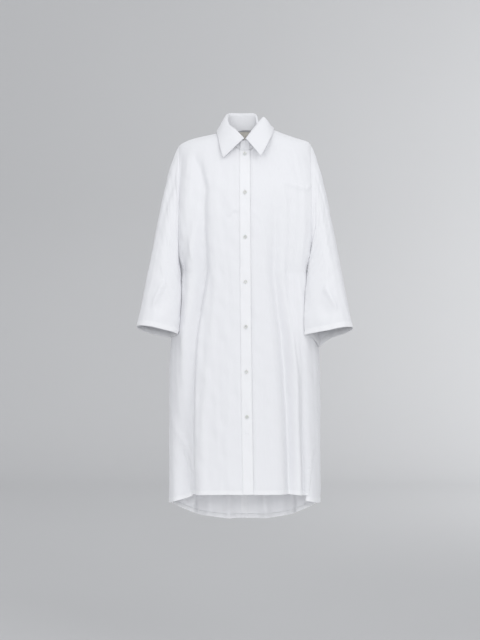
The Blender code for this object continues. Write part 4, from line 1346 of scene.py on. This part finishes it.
def finish_of(key):
    """Material of a finish, made at its first use."""
    name, roughness, build = FINISHES[key]
    made = bpy.data.materials.get(name)
    if made is None:
        shader = Shader(name, roughness)
        build(shader, bpy.context.scene.dress_colours)
        made = shader.material
    return made


# ---------------------------------------------------------------- sewing
def stitch_mesh(lines, pitch, length, radius):
    """Points and faces of all the stitches along lines of points and normals.

    Each stitch is a four-sided thread in four rings, which dives into the cloth at both
    ends. Stitches stand at even distances along their line.
    """
    rings = np.array([(-0.5, 0.35, -0.6), (-0.28, 1.0, 0.55), (0.28, 1.0, 0.55),
                      (0.5, 0.35, -0.6)])
    turn = np.array([0.25, 0.75, 1.25, 1.75]) * math.pi
    places = []
    for line, face in lines:
        gone = distances(line)
        count = max(int(gone[-1] / pitch), 1)
        middle = (np.arange(count) + 0.5) * gone[-1] / count

        def at(data, where):
            return np.stack([np.interp(where, gone, data[:, k]) for k in range(3)], axis=-1)

        centre = at(line, middle)
        ahead = at(line, middle + length / 2) - at(line, middle - length / 2)
        ahead = ahead / np.linalg.norm(ahead, axis=-1, keepdims=True)
        up = at(face, middle)
        beside = np.cross(ahead, up)
        beside = beside / np.linalg.norm(beside, axis=-1, keepdims=True)
        up = np.cross(beside, ahead)
        shape = []
        for along, size, lift in rings:
            core = centre + ahead * along * length + up * lift * radius
            for angle in turn:
                shape.append(core + beside * (math.cos(angle) * size * radius)
                             + up * (math.sin(angle) * size * radius))
        places.append(np.stack(shape, axis=1))
    points = np.concatenate(places)
    base = np.arange(len(points))[:, None, None] * 16
    sides = [(4 * k + j, 4 * k + (j + 1) % 4, 4 * k + 4 + (j + 1) % 4, 4 * k + 4 + j)
             for k in range(3) for j in range(4)]
    faces = np.array(sides + [(3, 2, 1, 0), (12, 13, 14, 15)])[None] + base
    return points.reshape(-1, 3), faces.reshape(-1, 4)


def sewn(name, lines, length=None, pitch=None, radius=None):
    """One object of stitches, which goes with the dress."""
    sizes = bpy.context.scene.dress_sizes
    points, faces = stitch_mesh(lines, pitch or sizes.pitch, length or sizes.stitch,
                                radius or sizes.thread)
    piece = mesh_piece(name, points, faces.tolist(), finish_of("thread"))
    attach(piece, "root")


def lifted(line, face, wall):
    """Line moved out to the face of a wall of cloth."""
    return line + face * wall / 2, face


# ---------------------------------------------------------------- operators
class PieceOperator:
    """What the operators share: undo, and an error where a needed piece is missing."""
    bl_options = {"REGISTER", "UNDO"}

    @staticmethod
    def need(*nodes):
        missing = [node for node in nodes if node not in grids]
        if missing:
            raise RuntimeError("Build these pieces first: " + ", ".join(missing))


class DRESS_OT_fronts(PieceOperator, bpy.types.Operator):
    """Cut and hem the two fronts, and tuck them under the yoke and the placket"""
    bl_idname = "dress.fronts"
    bl_label = "Fronts"

    def execute(self, context):
        sizes = context.scene.dress_sizes
        for name, side in (("front_right", -1), ("front_left", 1)):
            points = front_points(side)
            normals = facing(points, points * np.array([0, 0, 1]))
            points = relief(points, normals, "bottom", sizes.hem, FRONT_RELIEF)
            slit = relief(points, normals, "outer", SLIT_RELIEF, *SLIT_PUCKERS[side])
            low = smooth((SLIT_TOP_Z + 0.03 - points[..., 2:]) / 0.03)
            points = points + (slit - points) * low
            long_panel(name, points, normals, layered(points, ("bottom", sizes.hem)))
        return {"FINISHED"}


def long_panel(name, points, normals, double):
    """Finish a front or back: hem, side seam or slit edge, and the tucked upper edge."""
    sizes = bpy.context.scene.dress_sizes
    plain = (points, normals)
    is_back = name.startswith("back")
    below = points[:, -1:, 2] < SLIT_TOP_Z
    points, normals = hemmed(*plain, "bottom", sizes.hem, sizes.turn)
    double = padded(double, "bottom", points)
    below = padded(below, "bottom", points)[:, 0]
    if is_back:
        points, normals = run_under(points, normals, "outer", SEAM_REACH, 0.0007, ~below)
    else:
        points, normals = hemmed(points, normals, "outer", SLIT_HEM, sizes.turn, below)
    double = padded(double, "outer", points)
    points, normals = tucked(points, normals, "top", *TOP_TUCK)
    double = padded(double, "top", points)
    if is_back:
        points, normals = hemmed(points, normals, "inner", CENTRE_HEM, sizes.turn)
    elif name == "front_right":
        points, normals = tucked(points, normals, "inner", *PLACKET_TUCK)
    double = padded(double, "inner", points)
    cloth(name, points, normals, double)
    grids[name] = plain


class DRESS_OT_backs(PieceOperator, bpy.types.Operator):
    """Cut and hem the two backs, and press their centre seam open"""
    bl_idname = "dress.backs"
    bl_label = "Backs"

    def execute(self, context):
        sizes = context.scene.dress_sizes
        for name, side in (("back_right", -1), ("back_left", 1)):
            points = back_points(side)
            normals = facing(points, points * np.array([0, 0, 1]))
            points = relief(points, normals, "bottom", sizes.hem, BACK_RELIEF)
            double = layered(points, ("bottom", sizes.hem), ("inner", CENTRE_HEM))
            long_panel(name, points, normals, double)
        return {"FINISHED"}


class DRESS_OT_yoke(PieceOperator, bpy.types.Operator):
    """Cut the yoke, which lies over the shoulders"""
    bl_idname = "dress.yoke"
    bl_label = "Yoke"

    def execute(self, context):
        points = yoke_points()
        normals = facing(points, np.array([0.0, 0.0, -0.3]))
        double = np.full(points.shape[:2], 0.3)
        cloth("yoke", points, normals, double)
        return {"FINISHED"}


class DRESS_OT_placket(PieceOperator, bpy.types.Operator):
    """Cut the doubled placket and lay it on the right front"""
    bl_idname = "dress.placket"
    bl_label = "Placket"

    def execute(self, context):
        sizes = context.scene.dress_sizes
        points = placket_points()
        normals = facing(points, points * np.array([0, 0, 1]))
        for edge in ("left", "right"):
            points = relief(points, normals, edge, 0.0042, EDGE_RELIEF)
        double = np.ones(points.shape[:2])
        cloth("placket", points, normals, double, wall=sizes.doubled)
        return {"FINISHED"}


class DRESS_OT_sleeves(PieceOperator, bpy.types.Operator):
    """Cut the two sleeves, turn up their hems and close the underarm seams"""
    bl_idname = "dress.sleeves"
    bl_label = "Sleeves"

    def execute(self, context):
        sizes = context.scene.dress_sizes
        for name in SLEEVE_HEMS:
            points = sleeve_points(name)
            normals = facing(points, points.mean(axis=1, keepdims=True))
            points = relief(points, normals, "bottom", sizes.cuff, CUFF_RELIEF)
            plain = (points, normals)
            double = layered(points, ("bottom", sizes.cuff))
            points, normals = hemmed(points, normals, "bottom", sizes.cuff, sizes.turn)
            double = padded(double, "bottom", points)
            reach, behind = SLEEVE_TUCK
            inward = points[0] + onward(points) * reach - normals[0] * behind
            points, normals = extended(points, normals, "top", [inward], normals[:1])
            double = padded(double, "top", points)
            cloth("sleeve_" + name, points, normals, double)
            grids["sleeve_" + name] = plain
        return {"FINISHED"}


class DRESS_OT_collar(PieceOperator, bpy.types.Operator):
    """Cut the collar's stand and its leaf, and fold the leaf over"""
    bl_idname = "dress.collar"
    bl_label = "Collar"

    def execute(self, context):
        sizes = context.scene.dress_sizes
        points = leaf_points()
        normals = facing(points, np.array([0.0, -0.012, -0.03]))
        for edge in ("bottom", "left", "right"):
            points = relief(points, normals, edge, 0.0070, EDGE_RELIEF)
        # The leaf is doubled cloth but takes the single-layer tone: a painted shade that keeps
        # it darker than the doubled placket.
        double = np.zeros(points.shape[:2])
        cloth("collar_leaf", points, normals, double, wall=sizes.doubled)
        points = stand_points()
        normals = facing(points, np.array([0.0, -0.012, 0.0]))
        # The stand is doubled cloth but takes the single-layer tone: a painted shade that
        # keeps it darker than the doubled placket.
        double = np.zeros(points.shape[:2])
        cloth("collar_stand", points, normals, double, wall=sizes.doubled)
        return {"FINISHED"}


class DRESS_OT_label(PieceOperator, bpy.types.Operator):
    """Sew a bare label inside the nape"""
    bl_idname = "dress.label"
    bl_label = "Label"

    def execute(self, context):
        self.need("yoke")
        yoke = grids["yoke"][0]
        rows = np.linspace(*LABEL_ROWS, 25)[:, None] * (yoke.shape[0] - 1)
        columns = np.linspace(-LABEL_HALF, LABEL_HALF, 41)[None, :]
        columns = (0.5 + columns) * (yoke.shape[1] - 1)
        points = on_grid(yoke, *np.broadcast_arrays(rows, columns))
        normals = facing(points, np.array([0.0, 0.0, -0.3]))
        points = points - normals * LABEL_APART
        double = np.ones(points.shape[:2])
        cloth("neck_label", points, normals, double, finish="label")
        lines = [lifted(*inset(points, -normals, edge, LABEL_SEAM), 0.0006)
                 for edge in ("left", "right")]
        sewn("label_stitches", lines, length=0.0018, pitch=0.0023)
        return {"FINISHED"}


def on_grid(points, row, place):
    """Points at fractional rows and columns of a grid, flat between its lines."""
    low_row = np.clip(row.astype(int), 0, points.shape[0] - 2)
    low_column = np.clip(place.astype(int), 0, points.shape[1] - 2)
    down = (row - low_row)[..., None]
    across = (place - low_column)[..., None]
    upper = points[low_row, low_column] * (1 - across)
    upper = upper + points[low_row, low_column + 1] * across
    lower = points[low_row + 1, low_column] * (1 - across)
    lower = lower + points[low_row + 1, low_column + 1] * across
    return upper * (1 - down) + lower * down


def button_places():
    """Middle, outward direction and upward direction of each button on the placket."""
    heights = [BUTTON_TOP_Z] + [BUTTON_SECOND_Z - BUTTON_PITCH * k for k in range(BUTTONS - 1)]
    placket, faces = grids["placket"]
    middle = placket.shape[1] // 2
    places = []
    for z in heights:
        row = int(np.argmin(np.abs(placket[:, middle, 2] - z)))
        up = placket[row - 6, middle] - placket[row + 6, middle]
        up = up / np.linalg.norm(up)
        out = faces[row, middle] - up * (faces[row, middle] @ up)
        out = out / np.linalg.norm(out)
        centre = placket[row, middle].copy()
        centre[0] = centre_line(np.array(z))
        places.append((centre, out, up))
    return places


def button_surface(radius, height):
    """Four-hole button as heights on rings: dished face, round rim, flat back.

    A hole is a steep bell-shaped pit in the face. The rings run from the middle of the
    face over the rim to the middle of the back.
    """
    turn = np.linspace(0, 2 * math.pi, 73)[:-1]
    inner = np.linspace(0.02, 0.70, 22)
    rim = 0.86 + 0.14 * np.sin(np.linspace(-math.pi / 2, math.pi / 2, 9))
    rim_height = 0.88 + 0.12 * np.cos(np.linspace(-math.pi / 2, math.pi / 2, 9))
    rim_height[-1] = 0.55
    reach = np.concatenate([inner, rim, [0.96, 0.5, 0.02]]) * radius
    level = np.concatenate([np.full(len(inner), FACE_LEVEL), rim_height, [0.0, 0.0, 0.0]])
    level[len(inner) - 2:len(inner)] = (0.68, 0.78)
    x = reach[:, None] * np.cos(turn)
    y = reach[:, None] * np.sin(turn)
    z = level[:, None] * height * np.ones_like(x)
    for k in range(4):
        away = np.hypot(x - HOLE_PLACE * radius * (-1) ** k,
                        y - HOLE_PLACE * radius * (-1) ** (k // 2))
        pit = 1 / (1 + (away / (HOLE_SIZE * radius)) ** 8)
        z = z - np.where((level > 0.3)[:, None], pit * 0.50 * height, 0)
    return np.stack([x, y, z], axis=-1)


class DRESS_OT_buttons(PieceOperator, bpy.types.Operator):
    """Sew seven four-hole buttons on the placket, each over its buttonhole"""
    bl_idname = "dress.buttons"
    bl_label = "Buttons"

    def execute(self, context):
        self.need("placket")
        sizes = context.scene.dress_sizes
        shape = button_surface(sizes.button, sizes.button_height)
        rows, columns = shape.shape[:2]
        index = np.arange(rows * columns).reshape(rows, columns)
        after = np.roll(index, -1, axis=1)
        faces = np.stack([index[:-1], index[1:], after[1:], after[:-1]], axis=-1)
        faces = faces.reshape(-1, 4).tolist() + [index[0].tolist(), index[-1, ::-1].tolist()]
        cross, holes = [], []
        for number, (centre, out, up) in enumerate(button_places(), start=1):
            beside = np.cross(up, out)
            foot = centre + out * (sizes.doubled / 2 + 0.0003)
            points = (foot + shape[..., :1] * beside + shape[..., 1:2] * up
                      + shape[..., 2:] * out)
            material = finish_of("button")
            piece = mesh_piece(f"button_{number}_turned", points, faces, material)
            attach(piece, "root")
            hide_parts(f"button_{number}")
            reach = HOLE_PLACE * sizes.button
            face = foot + out * (FACE_LEVEL * sizes.button_height)
            for lean in (-1, 1):
                for shift in (-0.00016, 0.00016):
                    start = face - beside * reach + up * (lean * reach + shift)
                    end = face + beside * reach + up * (lean * reach + shift)
                    cross.append((np.stack([start, (start + end) / 2, end]),
                                  np.stack([out] * 3)))
            holes += self.buttonhole(centre + out * sizes.doubled / 2, out, up, beside,
                                     sizes.buttonhole)
        sewn("button_threads", cross, length=0.0032, pitch=0.0025, radius=0.00030)
        sewn("buttonhole_stitches", holes, length=0.0013, pitch=0.0012, radius=0.00014)
        return {"FINISHED"}

    @staticmethod
    def buttonhole(centre, out, up, beside, length):
        """Short cross stitches down both sides of the slit, and a bar at each end."""
        middles = [centre + up * step + beside * side * 0.00085 for side in (-1, 1)
                   for step in np.arange(-length / 2, length / 2, 0.00042)]
        middles += [centre + up * end * (length / 2 + step) + beside * shift
                    for end in (-1, 1) for step in (0, 0.0003, 0.0006)
                    for shift in (-0.0008, 0.0008)]
        return [(np.stack([middle - beside * 0.0006, middle, middle + beside * 0.0006]),
                 np.stack([out] * 3)) for middle in middles]


class DRESS_OT_topstitching(PieceOperator, bpy.types.Operator):
    """Topstitch the hems, the seams, the placket and the collar"""
    bl_idname = "dress.topstitching"
    bl_label = "Topstitching"

    def execute(self, context):
        self.need(*SEAM_LINES)
        sizes = context.scene.dress_sizes
        for node, rows in SEAM_LINES.items():
            points, normals = grids[node]
            heavy = node in ("placket", "collar_leaf", "collar_stand")
            wall = sizes.doubled if heavy else sizes.wall
            lines = []
            for edge, distance in rows:
                line, face = inset(points, normals, edge, distance)
                if edge == "front":
                    split = len(line) // 14 * 4
                    lines.append(lifted(line[:split], face[:split], wall))
                    lines.append(lifted(line[-split:], face[-split:], wall))
                else:
                    lines.append(lifted(line, face, wall))
            sewn(node + "_stitches", lines)
        return {"FINISHED"}


class DRESS_OT_tacks(PieceOperator, bpy.types.Operator):
    """Bar tacks at the tops of the slits and across the foot of the placket"""
    bl_idname = "dress.tacks"
    bl_label = "Tacks"

    def execute(self, context):
        self.need("front_right", "front_left", "placket")
        lines = []
        for node in ("front_right", "front_left"):
            points, normals = grids[node]
            row = int(np.argmin(np.abs(points[:, -1, 2] - SLIT_TOP_Z)))
            for step in range(-2, 3):
                line = points[row + step, -9:]
                face = normals[row + step, -9:]
                lines.append(lifted(line, face, 0.0008))
        placket, faces = grids["placket"]
        row = int(np.argmin(np.abs(placket[:, 8, 2] - PLACKET_FOOT_Z)))
        for step in (0, 1):
            lines.append(lifted(placket[row + step, 5:12], faces[row + step, 5:12], 0.0014))
        sewn("bar_tacks", lines, length=0.0022, pitch=0.0018, radius=0.00026)
        return {"FINISHED"}


class DRESS_OT_stage(PieceOperator, bpy.types.Operator):
    """Pale floor and backdrop in one sweep, soft studio light and the camera"""
    bl_idname = "dress.stage"
    bl_label = "Stage"

    def execute(self, context):
        stage = context.scene.dress_stage
        if stage.panel:
            self.sweep(stage.floor)
        for name, place, aim, size, power in LIGHTS:
            self.light(name, place, aim, size, getattr(stage, power))
        world = bpy.data.worlds.new("studio air")
        world.use_nodes = True
        air = world.node_tree.nodes["Background"]
        air.inputs["Color"].default_value = (0.97, 0.98, 1.0, 1.0)
        air.inputs["Strength"].default_value = 0.88
        context.scene.world = world
        context.scene.view_settings.view_transform = "Standard"
        camera = bpy.data.cameras.new("camera")
        camera.lens = stage.lens
        camera.sensor_width = 36.0
        camera.clip_end = 50.0
        holder = bpy.data.objects.new("camera", camera)
        holder.location = (stage.aside, -stage.distance, stage.height)
        holder.rotation_euler = (math.pi / 2, 0.0, 0.0)
        context.scene.collection.objects.link(holder)
        context.scene.camera = holder
        return {"FINISHED"}

    @staticmethod
    def sweep(floor):
        """Floor that curves up into a wall: a quarter circle between two planes."""
        turn = np.linspace(0, math.pi / 2, 25)
        far, round_by = 6.5, 2.0
        y = np.concatenate([[-9.0, -2.0], far - round_by + round_by * np.sin(turn), [far]])
        z = np.concatenate([[0, 0], round_by - round_by * np.cos(turn), [8.0]]) + floor
        x = np.linspace(-9, 9, 13)
        rows = np.stack(np.broadcast_arrays(x, y[:, None], z[:, None]), axis=-1)
        faces = grid_faces(*rows.shape[:2], flip=True).tolist()
        mesh_piece("studio_sweep", rows, faces, finish_of("backdrop"), "stage")

    @staticmethod
    def light(name, place, aim, size, power):
        """Square soft light at a place, turned towards an aim."""
        lamp = bpy.data.lights.new(name, "AREA")
        lamp.shape = "SQUARE"
        lamp.size = size
        lamp.energy = power
        holder = bpy.data.objects.new(name, lamp)
        holder.location = place
        x, y, z = (a - p for a, p in zip(aim, place))
        tilt = math.atan2(math.hypot(x, y), -z)
        holder.rotation_euler = (tilt, 0.0, math.atan2(y, x) - math.pi / 2)
        holder.visible_camera = False
        collection("stage").objects.link(holder)


class DRESS_PT_panel(bpy.types.Panel):
    """Pieces and sizes of the dress"""
    bl_idname = "DRESS_PT_panel"
    bl_label = "Shirt dress"
    bl_space_type = "VIEW_3D"
    bl_region_type = "UI"
    bl_category = "Shirt dress"

    def draw(self, context):
        for step in STEPS:
            self.layout.operator(step.bl_idname)
        for group in ("dress_sizes", "dress_colours", "dress_stage"):
            box = self.layout.box()
            settings = getattr(context.scene, group)
            for name in settings.__annotations__:
                box.prop(settings, name)


STEPS = (DRESS_OT_yoke, DRESS_OT_fronts, DRESS_OT_backs, DRESS_OT_placket,
         DRESS_OT_sleeves, DRESS_OT_collar, DRESS_OT_label, DRESS_OT_buttons,
         DRESS_OT_topstitching, DRESS_OT_tacks, DRESS_OT_stage)
GROUPS = (("dress_sizes", DressSizes), ("dress_colours", DressColours),
          ("dress_stage", DressStage))


def register():
    for name, group in GROUPS:
        bpy.utils.register_class(group)
        setattr(bpy.types.Scene, name, PointerProperty(type=group))
    for step in STEPS + (DRESS_PT_panel,):
        bpy.utils.register_class(step)


def unregister():
    for step in reversed(STEPS + (DRESS_PT_panel,)):
        bpy.utils.unregister_class(step)
    for name, group in reversed(GROUPS):
        delattr(bpy.types.Scene, name)
        bpy.utils.unregister_class(group)


def main():
    """Build the dress and its stage."""
    register()
    bpy.ops.dress.yoke()
    bpy.ops.dress.fronts()
    bpy.ops.dress.backs()
    bpy.ops.dress.placket()
    bpy.ops.dress.sleeves()
    bpy.ops.dress.collar()
    bpy.ops.dress.label()
    bpy.ops.dress.buttons()
    bpy.ops.dress.topstitching()
    bpy.ops.dress.tacks()
    bpy.ops.dress.stage()


if __name__ == "__main__":
    main()
